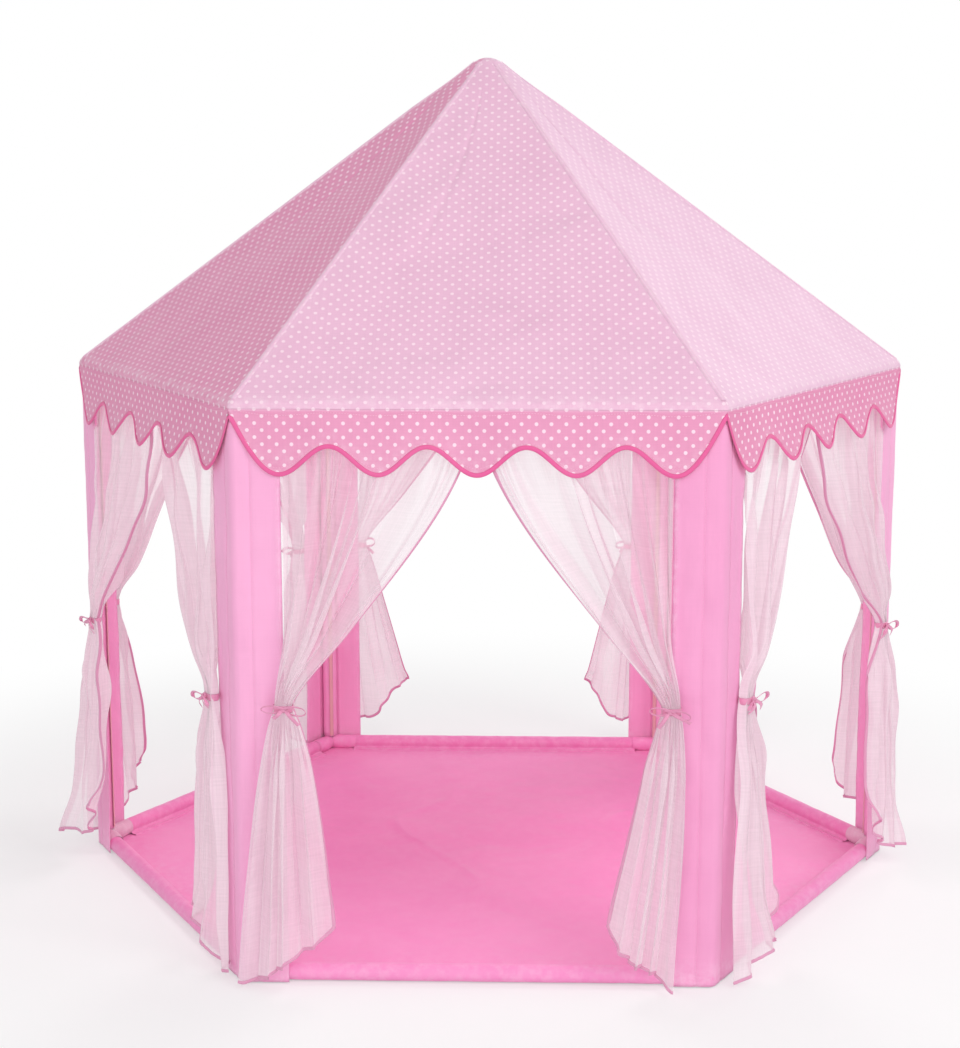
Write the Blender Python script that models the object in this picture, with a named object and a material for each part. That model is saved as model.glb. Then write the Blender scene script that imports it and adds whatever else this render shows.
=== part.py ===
"""A six-sided play tent for children: a frame of plastic tubes in fabric sleeves, a pyramid roof with scalloped
valances, corner panels, twelve tied curtains and a floor sheet.

Metres, +Z up. The origin is on the floor under the middle of the tent, and the front bay faces -Y.
"""

import math

import bmesh
import bpy
from mathutils import Matrix, Vector

# Whole tent
POST_CIRCUMRADIUS = 0.684
EAVE_HEIGHT = 0.862
ROOF_RISE = 0.5025

# Plastic tubes and the moulded fittings that hold their ends
TUBE_RADIUS = 0.008
TUBE_WALL = 0.0012
BORE_CLEARANCE = 0.0003
SOCKET_WALL = 0.0012
SOCKET_STOP = 0.014
SOCKET_REACH = 0.045
TUBE_END_GAP = 0.0005
CORE_RADIUS = 0.012
GUSSET_REACH = 0.03
GUSSET_THICKNESS = 0.003

# Top hub
HUB_RADIUS = 0.021
HUB_HEIGHT = 0.03
HUB_STOP = 0.026
HUB_REACH = 0.062
HUB_RIM_FILLET = 0.003

# Cloth, and the gaps between pieces that touch
CLOTH = 0.0012
FLOOR_CLOTH = 0.0015
SEAT_GAP = 0.0003
SEAM_LAP = 0.0005
SLEEVE_MOUTH_GAP = 0.005
CUT_OVERRUN = 0.004
WELD = 0.00001
SLIVER = 0.000001

# Roof
CAP_RADIUS = 0.034
GORE_SAG = 0.01

# Valances: depths below the eave rail's axis
VALANCE_TIP_DEPTH = 0.097
VALANCE_NOTCH_DEPTH = 0.06
VALANCE_CORNER_DEPTH = 0.01

# Corner panels
FLANGE_WIDTH = 0.062
PANEL_FOOT = 0.0015

# Curtains: the drape from the eave to its tie, and the tail below the tie
CURTAIN_EDGE_GAP = 0.0015
CURTAIN_MIDDLE_GAP = 0.002
HEADER_OFFSET = 0.0035
HEADER_THICKNESS = 0.003
HEADER_FOLD = 0.003
SWAG_FOLD = 0.007
WAIST_HEIGHT = 0.415
WAIST_WIDTH = 0.026
WAIST_RADIUS = 0.007
RIBBON_WIDTH = 0.01
RIBBON_PROUD = 0.0008
TAIL_WIDTH = 0.142
TAIL_FOLD = 0.008
HEM_THICKNESS = 0.003
HEM_HEIGHT = 0.008
HEM_RISE = 0.085

# Counts
SIDES = 6
SCALLOPS = 5
TUBE_FACETS = 12
SLEEVE_FACETS = 16
HUB_FACETS = 18
CORE_FACETS = 14
CORE_RINGS = 8
CAP_STEPS = 3
GORE_STEPS = 5
WRAP_STEPS = 3
SCALLOP_STEPS = 8
PANEL_ARC_STEPS = 4
PANEL_BACK_STEPS = 8
FOLDS = 5
DRAPE_ROWS = 6
TAIL_ROWS = 4
WAIST_ARC_STEPS = 3

# Shares: the leading edge's curve as (across, down), the tail's spread, and the rise of its hem
SWAG_TOP_SHARES = (1.0, 0.34)
SWAG_BOTTOM_SHARES = (0.385, 0.7)
TAIL_SPREAD_SHARE = 0.75
HEM_CURVE_SHARE = 1.5
FOLD_SWELL_SHARE = 0.5

# Worked out from the sizes above
TURN = math.tau / SIDES
HALF_TURN = TURN / 2
APOTHEM = POST_CIRCUMRADIUS * math.cos(HALF_TURN)
BAY_LENGTH = 2 * POST_CIRCUMRADIUS * math.sin(HALF_TURN)
ROOF_TILT = math.atan2(ROOF_RISE, APOTHEM)
SOCKET_BORE = TUBE_RADIUS + BORE_CLEARANCE
SOCKET_OUTER = SOCKET_BORE + SOCKET_WALL
BASE_HEIGHT = FLOOR_CLOTH + SEAT_GAP + CORE_RADIUS
BASE_SLEEVE_OUTER = BASE_HEIGHT - SEAM_LAP
BASE_SLEEVE_INNER = BASE_SLEEVE_OUTER - CLOTH
PANEL_INNER = BASE_SLEEVE_OUTER + SEAT_GAP
PANEL_OUTER = PANEL_INNER + CLOTH
COVER_OFFSET = PANEL_OUTER + SEAT_GAP
EAVE_SLEEVE_INNER = COVER_OFFSET - SEAM_LAP
EAVE_SLEEVE_OUTER = EAVE_SLEEVE_INNER + CLOTH
HANGING_TOP = EAVE_HEIGHT - EAVE_SLEEVE_OUTER - SEAT_GAP
SLEEVE_INSET = SOCKET_REACH + SLEEVE_MOUTH_GAP
APEX_HEIGHT = EAVE_HEIGHT + ROOF_RISE
CAP_CENTRE = APEX_HEIGHT + (COVER_OFFSET - CAP_RADIUS) / math.cos(ROOF_TILT)
CURTAIN_EDGE = FLANGE_WIDTH + CURTAIN_EDGE_GAP
CURTAIN_WIDTH = BAY_LENGTH / 2 - CURTAIN_MIDDLE_GAP - CURTAIN_EDGE
WAIST_ACROSS = CURTAIN_EDGE + WAIST_WIDTH / 2
WAIST_OUT = PANEL_OUTER + SEAT_GAP + WAIST_RADIUS

# Corner k stands at k sixths of a turn from +X. Bay k lies between corner k and the next.
CORNERS = ("right", "rear_right", "rear_left", "left", "front_left", "front_right")
BAYS = ("right_rear", "rear", "left_rear", "left_front", "front", "right_front")
FRONT_BAY = BAYS.index("front")
RADIAL = Vector((0, -1, 0))

FINISHES = {
    "roof_cloth": ((0.86, 0.48, 0.66), 0.8, 0.0),
    "panel_cloth": ((1.0, 0.47, 0.7), 0.75, 0.0),
    "floor_cloth": ((0.83, 0.22, 0.47), 0.75, 0.0),
    "sheer_cloth": ((0.85, 0.72, 0.77), 0.6, 0.0),
    "frame_plastic": ((0.8, 0.8, 0.78), 0.45, 0.0),
}


def clear_scene():
    for thing in list(bpy.data.objects):
        bpy.data.objects.remove(thing, do_unlink=True)


def finish(name):
    """The material of this name, made once."""
    if name in bpy.data.materials:
        return bpy.data.materials[name]
    colour, roughness, metallic = FINISHES[name]
    material = bpy.data.materials.new(name)
    material.use_nodes = True
    shader = material.node_tree.nodes["Principled BSDF"]
    shader.inputs["Base Color"].default_value = (*colour, 1)
    shader.inputs["Roughness"].default_value = roughness
    shader.inputs["Metallic"].default_value = metallic
    material.diffuse_color = (*colour, 1)
    return material


def mesh_of(bm, name):
    mesh = bpy.data.meshes.new(name)
    bm.to_mesh(mesh)
    bm.free()
    return mesh


def smoothed(mesh, angle=math.radians(35)):
    mesh.shade_smooth()
    mesh.set_sharp_from_angle(angle=angle)
    return mesh


def add_object(name, mesh, material=None, place=(0, 0, 0), turn=0):
    """An object at a place in the front bay's frame, turned with that place about the tent's axis."""
    thing = bpy.data.objects.new(name, mesh)
    thing.location = Matrix.Rotation(turn, 3, "Z") @ Vector(place)
    thing.rotation_euler.z = turn
    bpy.context.scene.collection.objects.link(thing)
    if material:
        mesh.materials.clear()
        mesh.materials.append(finish(material))
    return thing


def helper(name, bm):
    """A hidden object that a Boolean joins or cuts with."""
    bmesh.ops.recalc_face_normals(bm, faces=bm.faces)
    thing = add_object(name, mesh_of(bm, name))
    thing.hide_render = True
    thing.display_type = "WIRE"
    return thing


def combine(thing, tool, operation):
    modifier = thing.modifiers.new(operation.lower(), "BOOLEAN")
    modifier.operation = operation
    modifier.solver = "EXACT"
    modifier.object = tool


def combined_mesh(name, core, additions, cuts):
    """One mesh: the core with the additions joined on, and then the cuts taken out."""
    thing = helper(name, core)
    tools = []
    for operation, shapes in (("UNION", additions), ("DIFFERENCE", cuts)):
        for shape in shapes:
            tools.append(helper(name, shape))
            combine(thing, tools[-1], operation)
    bpy.context.view_layer.update()
    graph = bpy.context.evaluated_depsgraph_get()
    bm = bmesh.new()
    bm.from_mesh(thing.evaluated_get(graph).to_mesh())
    for used in [thing, *tools]:
        bpy.data.objects.remove(used, do_unlink=True)
    bmesh.ops.remove_doubles(bm, verts=bm.verts, dist=SLIVER)
    bmesh.ops.dissolve_degenerate(bm, edges=bm.edges, dist=SLIVER)
    return smoothed(mesh_of(bm, name))


def bay_turn(bay):
    return (bay - FRONT_BAY) * TURN


def corner_turn(corner):
    """How far corner's frame, which faces -Y, is turned about the tent's axis."""
    return corner * TURN + math.pi / 2


# Cylinders and tubes along a direction


def rod(direction, radius, start, end, sides=TUBE_FACETS):
    bm = bmesh.new()
    turned = direction.to_track_quat("Z", "Y").to_matrix().to_4x4()
    middle = Matrix.Translation(direction.normalized() * (start + end) / 2)
    bmesh.ops.create_cone(
        bm,
        cap_ends=True,
        segments=sides,
        radius1=radius,
        radius2=radius,
        depth=end - start,
        matrix=middle @ turned,
    )
    return bm


def add_tube(bm, start, end, outer, inner, sides):
    """A tube with open ends, spun from the outline of its wall."""
    axis = (end - start).normalized()
    side = axis.orthogonal().normalized()
    outline = [start + side * inner, start + side * outer, end + side * outer, end + side * inner]
    points = [bm.verts.new(p) for p in outline]
    edges = [bm.edges.new((points[k], points[k - 1])) for k in range(len(points))]
    spun = bmesh.ops.spin(bm, geom=points + edges, cent=start, axis=axis, angle=math.tau, steps=sides)
    bmesh.ops.remove_doubles(bm, verts=bm.verts, dist=WELD)
    return spun


def tube_mesh(name, length):
    """A frame tube along +Z from its own origin."""
    bm = bmesh.new()
    add_tube(bm, Vector(), Vector((0, 0, length)), TUBE_RADIUS, TUBE_RADIUS - TUBE_WALL, TUBE_FACETS)
    bmesh.ops.recalc_face_normals(bm, faces=bm.faces)
    return smoothed(mesh_of(bm, name))


# Moulded fittings


def socket_arm(direction, reach=SOCKET_REACH, stop=SOCKET_STOP):
    """The solids and the bores of a socket that holds a tube's end."""
    solids = [rod(direction, SOCKET_OUTER, 0, reach)]
    bores = [rod(direction, SOCKET_BORE, stop, reach + CUT_OVERRUN)]
    return solids, bores


def tube_arm(direction, length):
    """The solids and the bore of a tube that is moulded into its fitting."""
    solids = [
        rod(direction, SOCKET_OUTER, 0, SOCKET_REACH),
        rod(direction, TUBE_RADIUS, 0, length),
    ]
    bores = [rod(direction, TUBE_RADIUS - TUBE_WALL, SOCKET_STOP, length + CUT_OVERRUN)]
    return solids, bores


def core_ball():
    bm = bmesh.new()
    bmesh.ops.create_uvsphere(bm, u_segments=CORE_FACETS, v_segments=CORE_RINGS, radius=CORE_RADIUS)
    return bm


def gusset(first, second):
    """A flat web in the angle between two sockets."""
    bm = bmesh.new()
    drop = Vector((0, 0, -GUSSET_THICKNESS / 2))
    corners = (drop, drop + first * GUSSET_REACH, drop + second * GUSSET_REACH)
    face = bm.faces.new([bm.verts.new(p) for p in corners])
    grown = bmesh.ops.extrude_face_region(bm, geom=[face])["geom"]
    lifted = [g for g in grown if isinstance(g, bmesh.types.BMVert)]
    bmesh.ops.translate(bm, verts=lifted, vec=(0, 0, GUSSET_THICKNESS))
    return bm


def fitting_mesh(name, core, arms, webs=()):
    solids = [solid for arm in arms for solid in arm[0]]
    bores = [bore for arm in arms for bore in arm[1]]
    return combined_mesh(name, core, solids + list(webs), bores)


def along_bay(side):
    """From a corner, in its own frame, along the bay on its right (side 1) or left (side -1)."""
    return Vector((side * math.cos(HALF_TURN), math.sin(HALF_TURN), 0))


def rafter_vector():
    """From a corner's post, in its own frame, to where the rafters' axes meet."""
    return Vector((0, POST_CIRCUMRADIUS, ROOF_RISE))


def build_posts():
    """Each post is a tube with its four-way head: two rail sockets and a rafter socket."""
    length = EAVE_HEIGHT - BASE_HEIGHT - SOCKET_STOP - TUBE_END_GAP
    right, left = along_bay(1), along_bay(-1)
    arms = [
        socket_arm(right),
        socket_arm(left),
        socket_arm(rafter_vector()),
        tube_arm(Vector((0, 0, -1)), length),
    ]
    mesh = fitting_mesh("post", core_ball(), arms, [gusset(right, left)])
    for corner, name in enumerate(CORNERS):
        place = RADIAL * POST_CIRCUMRADIUS + Vector((0, 0, EAVE_HEIGHT))
        add_object(f"post_{name}", mesh, "frame_plastic", place, corner_turn(corner))


def build_base_rails():
    """Each base rail is a tube with the three-way corner that takes its neighbour and the post."""
    own = Vector((1, 0, 0))
    neighbour = Matrix.Rotation(math.pi - TURN, 3, "Z") @ own
    length = BAY_LENGTH - SOCKET_STOP - TUBE_END_GAP
    arms = [tube_arm(own, length), socket_arm(neighbour), socket_arm(Vector((0, 0, 1)))]
    mesh = fitting_mesh("base_rail", core_ball(), arms, [gusset(own, neighbour)])
    for bay, name in enumerate(BAYS):
        place = (-BAY_LENGTH / 2, -APOTHEM, BASE_HEIGHT)
        add_object(f"base_rail_{name}", mesh, "frame_plastic", place, bay_turn(bay))


def build_eave_rails():
    inset = SOCKET_STOP + TUBE_END_GAP
    mesh = tube_mesh("eave_rail", BAY_LENGTH - 2 * inset)
    for bay, name in enumerate(BAYS):
        rail = add_object(
            f"eave_rail_{name}",
            mesh,
            "frame_plastic",
            (inset - BAY_LENGTH / 2, -APOTHEM, EAVE_HEIGHT),
            bay_turn(bay),
        )
        rail.rotation_mode = "QUATERNION"
        lying = Vector((1, 0, 0)).to_track_quat("Z", "Y")
        rail.rotation_quaternion = Matrix.Rotation(bay_turn(bay), 3, "Z").to_quaternion() @ lying


def build_rafters():
    inset = SOCKET_STOP + TUBE_END_GAP
    run = rafter_vector()
    mesh = tube_mesh("rafter", run.length - inset - HUB_STOP - TUBE_END_GAP)
    foot = RADIAL * POST_CIRCUMRADIUS + Vector((0, 0, EAVE_HEIGHT)) + run.normalized() * inset
    for corner, name in enumerate(CORNERS):
        rafter = add_object(f"rafter_{name}", mesh, "frame_plastic", foot, corner_turn(corner))
        rafter.rotation_mode = "QUATERNION"
        leaning = run.to_track_quat("Z", "Y")
        rafter.rotation_quaternion = Matrix.Rotation(corner_turn(corner), 3, "Z").to_quaternion() @ leaning


def hub_core():
    """The hub's body, spun from its profile: a domed top, a straight side and a flat underside."""
    dome = CAP_RADIUS - SEAT_GAP
    profile = []
    for step in range(CAP_STEPS + 1):
        angle = math.asin((HUB_RADIUS - HUB_RIM_FILLET) / dome) * step / CAP_STEPS
        profile.append((dome * math.sin(angle), CAP_CENTRE - APEX_HEIGHT + dome * math.cos(angle)))
    rim = CAP_CENTRE - APEX_HEIGHT + math.sqrt(dome**2 - HUB_RADIUS**2) - HUB_RIM_FILLET
    profile += [(HUB_RADIUS, rim), (HUB_RADIUS, -HUB_HEIGHT), (0, -HUB_HEIGHT)]
    bm = bmesh.new()
    points = [bm.verts.new((radius, 0, height)) for radius, height in profile]
    edges = [bm.edges.new(pair) for pair in zip(points, points[1:])]
    axis = (0, 0, 1)
    bmesh.ops.spin(bm, geom=points + edges, cent=(0, 0, 0), axis=axis, angle=math.tau, steps=HUB_FACETS)
    bmesh.ops.remove_doubles(bm, verts=bm.verts, dist=WELD)
    return bm


def build_hub():
    down = -rafter_vector()
    arms = []
    for corner in range(SIDES):
        direction = Matrix.Rotation(corner_turn(corner), 3, "Z") @ down
        arms.append(socket_arm(direction, HUB_REACH, HUB_STOP))
    mesh = fitting_mesh("top_hub", hub_core(), arms)
    add_object("top_hub", mesh, "frame_plastic", (0, 0, APEX_HEIGHT))


# Roof canopy


def roof_rows():
    """(distance from the tent's axis, height, share of the way down the gore) of the roof cloth's inner face,
    on the middle line of a gore: the cap over the hub, the gore, and the wrap round the eave rail."""
    rows = []
    for step in range(CAP_STEPS + 1):
        angle = ROOF_TILT * step / CAP_STEPS
        rows.append((CAP_RADIUS * math.sin(angle), CAP_CENTRE + CAP_RADIUS * math.cos(angle), 0))
    top_out, top_height, _ = rows[-1]
    eave_out = APOTHEM + COVER_OFFSET * math.sin(ROOF_TILT)
    eave_height = EAVE_HEIGHT + COVER_OFFSET * math.cos(ROOF_TILT)
    for step in range(1, GORE_STEPS + 1):
        share = step / GORE_STEPS
        out = top_out + (eave_out - top_out) * share
        rows.append((out, top_height + (eave_height - top_height) * share, share))
    for step in range(1, WRAP_STEPS + 1):
        angle = (math.pi / 2 - ROOF_TILT) * (1 - step / WRAP_STEPS)
        out = APOTHEM + COVER_OFFSET * math.cos(angle)
        rows.append((out, EAVE_HEIGHT + COVER_OFFSET * math.sin(angle), 0))
    return rows


def roof_point(row, across):
    """A point of the front gore, across from -1 at its left ridge to 1 at its right one."""
    out, height, share = row
    sag = GORE_SAG * math.sin(math.pi * share) * (1 - across**2)
    return Vector((across * out * math.tan(HALF_TURN), -out, height - sag))


def scallop_depth(place):
    """The valance's depth at a place counted in scallops from its left end: a smooth wave, with rounded ends."""
    scallop = min(int(place), SCALLOPS - 1)
    from_tip = place - scallop - 1 / 2
    outer_half = (scallop == 0 and from_tip < 0) or (scallop == SCALLOPS - 1 and from_tip > 0)
    if outer_half:
        rounded = math.cos(math.pi * from_tip)
        return VALANCE_CORNER_DEPTH + (VALANCE_TIP_DEPTH - VALANCE_CORNER_DEPTH) * rounded
    waved = (1 + math.cos(math.tau * from_tip)) / 2
    return VALANCE_NOTCH_DEPTH + (VALANCE_TIP_DEPTH - VALANCE_NOTCH_DEPTH) * waved


def add_valance(bm, top_row, top_points):
    """Five scallops that hang straight down from the eave."""
    out, height, _ = top_row
    half = out * math.tan(HALF_TURN)

    def hem_point(place):
        across = 2 * place / SCALLOPS - 1
        return bm.verts.new((across * half, -out, height - scallop_depth(place)))

    notches = [hem_point(scallop) for scallop in range(SCALLOPS + 1)]
    for scallop in range(SCALLOPS):
        places = [scallop + step / SCALLOP_STEPS for step in range(1, SCALLOP_STEPS)]
        hem = [notches[scallop], *map(hem_point, places), notches[scallop + 1]]
        bm.faces.new([top_points[scallop], *hem, top_points[scallop + 1]])


def roof_sheet():
    """The roof's inner face: one gore and its valance, turned round the tent."""
    bm = bmesh.new()
    rows = roof_rows()
    acrosses = [2 * column / SCALLOPS - 1 for column in range(SCALLOPS + 1)]
    grid = [[bm.verts.new(roof_point(row, across)) for across in acrosses] for row in rows]
    for upper, lower in zip(grid, grid[1:]):
        for column in range(SCALLOPS):
            bm.faces.new((upper[column], lower[column], lower[column + 1], upper[column + 1]))
    add_valance(bm, rows[-1], grid[-1])
    everything = bm.verts[:] + bm.edges[:] + bm.faces[:]
    bmesh.ops.spin(
        bm,
        geom=everything,
        cent=(0, 0, 0),
        axis=(0, 0, 1),
        angle=(SIDES - 1) * TURN,
        steps=SIDES - 1,
        use_duplicate=True,
    )
    bmesh.ops.remove_doubles(bm, verts=bm.verts, dist=WELD)
    return bm


def sleeve_tubes(height, outer, inner):
    """Six cloth tubes round the rails at this height, which stop short of the corner fittings."""
    bm = bmesh.new()
    reach = BAY_LENGTH / 2 - SLEEVE_INSET
    for bay in range(SIDES):
        turned = Matrix.Rotation(bay_turn(bay), 3, "Z")
        ends = [turned @ Vector((side * reach, -APOTHEM, height)) for side in (-1, 1)]
        add_tube(bm, *ends, outer, inner, SLEEVE_FACETS)
    return bm


def build_canopy():
    canopy = add_object("roof_canopy", smoothed(mesh_of(roof_sheet(), "roof_canopy")), "roof_cloth")
    wall = canopy.modifiers.new("cloth thickness", "SOLIDIFY")
    wall.thickness = CLOTH
    wall.offset = 1
    wall.use_even_offset = True
    sleeves = helper("eave_sleeves", sleeve_tubes(EAVE_HEIGHT, EAVE_SLEEVE_OUTER, EAVE_SLEEVE_INNER))
    combine(canopy, sleeves, "UNION")


# Floor sheet


def build_floor():
    """A flat six-sided sheet with a sleeve for the base rail along each edge."""
    bm = bmesh.new()
    bmesh.ops.create_circle(bm, cap_ends=True, segments=SIDES, radius=POST_CIRCUMRADIUS)
    bmesh.ops.rotate(bm, verts=bm.verts, matrix=Matrix.Rotation(first_corner_angle(bm), 3, "Z"))
    grown = bmesh.ops.extrude_face_region(bm, geom=bm.faces[:])["geom"]
    lifted = [g for g in grown if isinstance(g, bmesh.types.BMVert)]
    bmesh.ops.translate(bm, verts=lifted, vec=(0, 0, FLOOR_CLOTH))
    bmesh.ops.recalc_face_normals(bm, faces=bm.faces)
    floor = add_object("floor_sheet", smoothed(mesh_of(bm, "floor_sheet")), "floor_cloth")
    sleeves = helper("base_sleeves", sleeve_tubes(BASE_HEIGHT, BASE_SLEEVE_OUTER, BASE_SLEEVE_INNER))
    combine(floor, sleeves, "UNION")


def first_corner_angle(bm):
    """The turn that brings the circle's first vertex onto +X, where a corner of the tent stands."""
    bm.verts.ensure_lookup_table()
    first = bm.verts[0].co
    return -math.atan2(first.y, first.x)


# Corner panels


def on_arc(radius, angle):
    """A point round a post in its corner's frame, the angle counted from the radial direction."""
    return Vector((radius * math.sin(angle), -radius * math.cos(angle), 0))


def on_flange(side, along, out):
    """A point of a flange: along the bay from the post's axis, and out from the bay's plane."""
    return along_bay(side) * along + on_arc(out, side * HALF_TURN)


def panel_section(bm, height):
    """The faces of a corner panel's section at a height: the skin that shows, and the back of the sleeve."""
    lift = Vector((0, 0, height))

    def vertex(point):
        return bm.verts.new(point + lift)

    angles = [HALF_TURN * (2 * step / PANEL_ARC_STEPS - 1) for step in range(PANEL_ARC_STEPS + 1)]
    inner = [vertex(on_arc(PANEL_INNER, angle)) for angle in angles]
    outer = [vertex(on_arc(PANEL_OUTER, angle)) for angle in angles]
    skin = [
        bm.faces.new((inner[k], inner[k + 1], outer[k + 1], outer[k])) for k in range(PANEL_ARC_STEPS)
    ]
    seam = math.sqrt(PANEL_OUTER**2 - PANEL_INNER**2)
    seams = []
    for side, touching in ((-1, 0), (1, -1)):
        seams.append(vertex(on_flange(side, seam, PANEL_INNER)))
        ends = [vertex(on_flange(side, FLANGE_WIDTH, out)) for out in (PANEL_INNER, PANEL_OUTER)]
        skin.append(bm.faces.new((inner[touching], seams[-1], *ends, outer[touching])))
    sweep = math.tau - TURN
    turns = [HALF_TURN + sweep * step / PANEL_BACK_STEPS for step in range(1, PANEL_BACK_STEPS)]
    back_inner = [inner[-1], *(vertex(on_arc(PANEL_INNER, turn)) for turn in turns), inner[0]]
    back_outer = [seams[1], *(vertex(on_arc(PANEL_OUTER, turn)) for turn in turns), seams[0]]
    back = [
        bm.faces.new((back_inner[k], back_inner[k + 1], back_outer[k + 1], back_outer[k]))
        for k in range(PANEL_BACK_STEPS)
    ]
    return skin, back


def raise_faces(bm, faces, rise):
    """Extrudes faces straight up, and returns the faces at the top."""
    grown = bmesh.ops.extrude_face_region(bm, geom=faces)["geom"]
    lifted = [g for g in grown if isinstance(g, bmesh.types.BMVert)]
    bmesh.ops.translate(bm, verts=lifted, vec=(0, 0, rise))
    return [g for g in grown if isinstance(g, bmesh.types.BMFace)]


def panel_shape():
    """The sleeve with its two flanges, and the skirt that goes on down past the base sleeves."""
    sleeve_foot = BASE_HEIGHT + BASE_SLEEVE_OUTER + SEAT_GAP
    body = bmesh.new()
    skin, back = panel_section(body, sleeve_foot)
    raise_faces(body, skin + back, HANGING_TOP - sleeve_foot)
    skirt = bmesh.new()
    skin, back = panel_section(skirt, PANEL_FOOT)
    bmesh.ops.delete(skirt, geom=back, context="FACES")
    raise_faces(skirt, skirt.faces[:], sleeve_foot + SEAM_LAP - PANEL_FOOT)
    return body, skirt


def build_panels():
    body, skirt = panel_shape()
    mesh = combined_mesh("corner_panel", body, [skirt], [])
    for corner, name in enumerate(CORNERS):
        place = RADIAL * POST_CIRCUMRADIUS
        add_object(f"corner_panel_{name}", mesh, "panel_cloth", place, corner_turn(corner))


# Curtains


def add_bent_face(bm, a, b, c, d):
    """A four-sided patch that is bent along the line from its first corner to its third."""
    bm.faces.new((a, b, c))
    bm.faces.new((a, c, d))


def loft(bm, rings):
    """Joins rings of front and back points, from the top ring down, into one closed cloth."""
    rows = [([bm.verts.new(p) for p in front], [bm.verts.new(p) for p in back]) for front, back in rings]
    columns = range(len(rows[0][0]) - 1)
    for (front, back), (next_front, next_back) in zip(rows, rows[1:]):
        for k in columns:
            add_bent_face(bm, front[k], next_front[k], next_front[k + 1], front[k + 1])
            add_bent_face(bm, next_back[k + 1], next_back[k], back[k], back[k + 1])
        for k in (0, -1):
            bm.faces.new((front[k], back[k], next_back[k], next_front[k]))
    for front, back in (rows[0], rows[-1]):
        for k in columns:
            bm.faces.new((front[k], front[k + 1], back[k + 1], back[k]))


def cloth_ring(side, acrosses, outs, heights, thickness):
    """A ring's front and back points: across from the nearer post, out from the bay's plane, and high."""
    front, back = [], []
    for across, out, height in zip(acrosses, outs, heights):
        along = side * (BAY_LENGTH / 2 - across)
        front.append(Vector((along, -out - thickness / 2, height)))
        back.append(Vector((along, -out + thickness / 2, height)))
    return front, back


def fold_shares():
    """One value for each column of cloth: 1 on a ridge and -1 in a valley."""
    return [(-1) ** column for column in range(2 * FOLDS + 1)]


def bezier(points, t):
    a, b, c, d = points
    u = 1 - t
    return u**3 * a + 3 * u**2 * t * b + 3 * u * t**2 * c + t**3 * d


def drape_foot():
    return WAIST_HEIGHT + WAIST_RADIUS + SEAT_GAP


def drape_place(column, share):
    """(across, height) of a drape's column at a share of its way down, along the curve it hangs in."""
    across_share = column / (2 * FOLDS)
    top = drape_foot() + RIBBON_WIDTH
    drop = HANGING_TOP - top
    first, second = SWAG_TOP_SHARES, SWAG_BOTTOM_SHARES
    acrosses = [
        CURTAIN_EDGE + CURTAIN_WIDTH * across_share,
        CURTAIN_EDGE + CURTAIN_WIDTH * across_share * first[0],
        CURTAIN_EDGE + CURTAIN_WIDTH * across_share * second[0],
        CURTAIN_EDGE + WAIST_WIDTH * across_share,
    ]
    heights = [HANGING_TOP, HANGING_TOP - drop * first[1], HANGING_TOP - drop * second[1], top]
    return bezier(acrosses, share), bezier(heights, share)


def drape_rings(side):
    """The pleated swag from the eave to the tie, and the ribbon round its foot."""
    rings = []
    for row in range(DRAPE_ROWS + 1):
        share = row / DRAPE_ROWS
        swell = math.sin(math.pi * share**FOLD_SWELL_SHARE)
        fold = HEADER_FOLD * (1 - share) + SWAG_FOLD * max(0, swell)
        middle = HEADER_OFFSET + (WAIST_OUT - HEADER_OFFSET) * share**2
        thickness = HEADER_THICKNESS + (2 * WAIST_RADIUS - HEADER_THICKNESS) * share**4
        outs = [middle + fold * lean for lean in fold_shares()]
        places = [drape_place(column, share) for column in range(2 * FOLDS + 1)]
        acrosses, heights = zip(*places)
        rings.append(cloth_ring(side, acrosses, outs, heights, thickness))
    for height in (drape_foot() + RIBBON_WIDTH - RIBBON_PROUD, drape_foot()):
        rings.append(waist_ring(side, height, WAIST_RADIUS + RIBBON_PROUD, RIBBON_PROUD))
    return rings


def waist_ring(side, height, radius, proud=0):
    """A level ring round the gathered cloth."""
    columns = range(2 * FOLDS + 1)
    width = WAIST_WIDTH + 2 * proud
    acrosses = [WAIST_ACROSS + width * (column / (2 * FOLDS) - 1 / 2) for column in columns]
    return cloth_ring(side, acrosses, [WAIST_OUT] * len(acrosses), [height] * len(acrosses), 2 * radius)


def tail_rings(side):
    """The loose tail: a top rounded about its swing axis, then pleats that spread to the hem."""
    rings = []
    for step in range(WAIST_ARC_STEPS, -1, -1):
        angle = math.pi / 2 * step / (WAIST_ARC_STEPS + 1)
        height = WAIST_HEIGHT + WAIST_RADIUS * math.sin(angle)
        rings.append(waist_ring(side, height, WAIST_RADIUS * math.cos(angle)))
    for row in range(1, TAIL_ROWS + 1):
        share = row / TAIL_ROWS
        fold = TAIL_FOLD * share
        thickness = 2 * WAIST_RADIUS + (HEM_THICKNESS - 2 * WAIST_RADIUS) * share**FOLD_SWELL_SHARE
        width = WAIST_WIDTH + (TAIL_WIDTH - WAIST_WIDTH) * share**TAIL_SPREAD_SHARE
        middle = COVER_OFFSET + fold + thickness / 2
        acrosses, heights = [], []
        for column in range(2 * FOLDS + 1):
            across_share = column / (2 * FOLDS)
            hem = HEM_HEIGHT + HEM_RISE * across_share**HEM_CURVE_SHARE
            acrosses.append(WAIST_ACROSS + width * (across_share - 1 / 2))
            heights.append(WAIST_HEIGHT + (hem - WAIST_HEIGHT) * share)
        outs = [middle + fold * lean for lean in fold_shares()]
        rings.append(cloth_ring(side, acrosses, outs, heights, thickness))
    return rings


def cloth_mesh(name, rings, origin):
    bm = bmesh.new()
    loft(bm, rings)
    bmesh.ops.translate(bm, verts=bm.verts, vec=-origin)
    bmesh.ops.recalc_face_normals(bm, faces=bm.faces)
    return smoothed(mesh_of(bm, name), math.radians(75))


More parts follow.
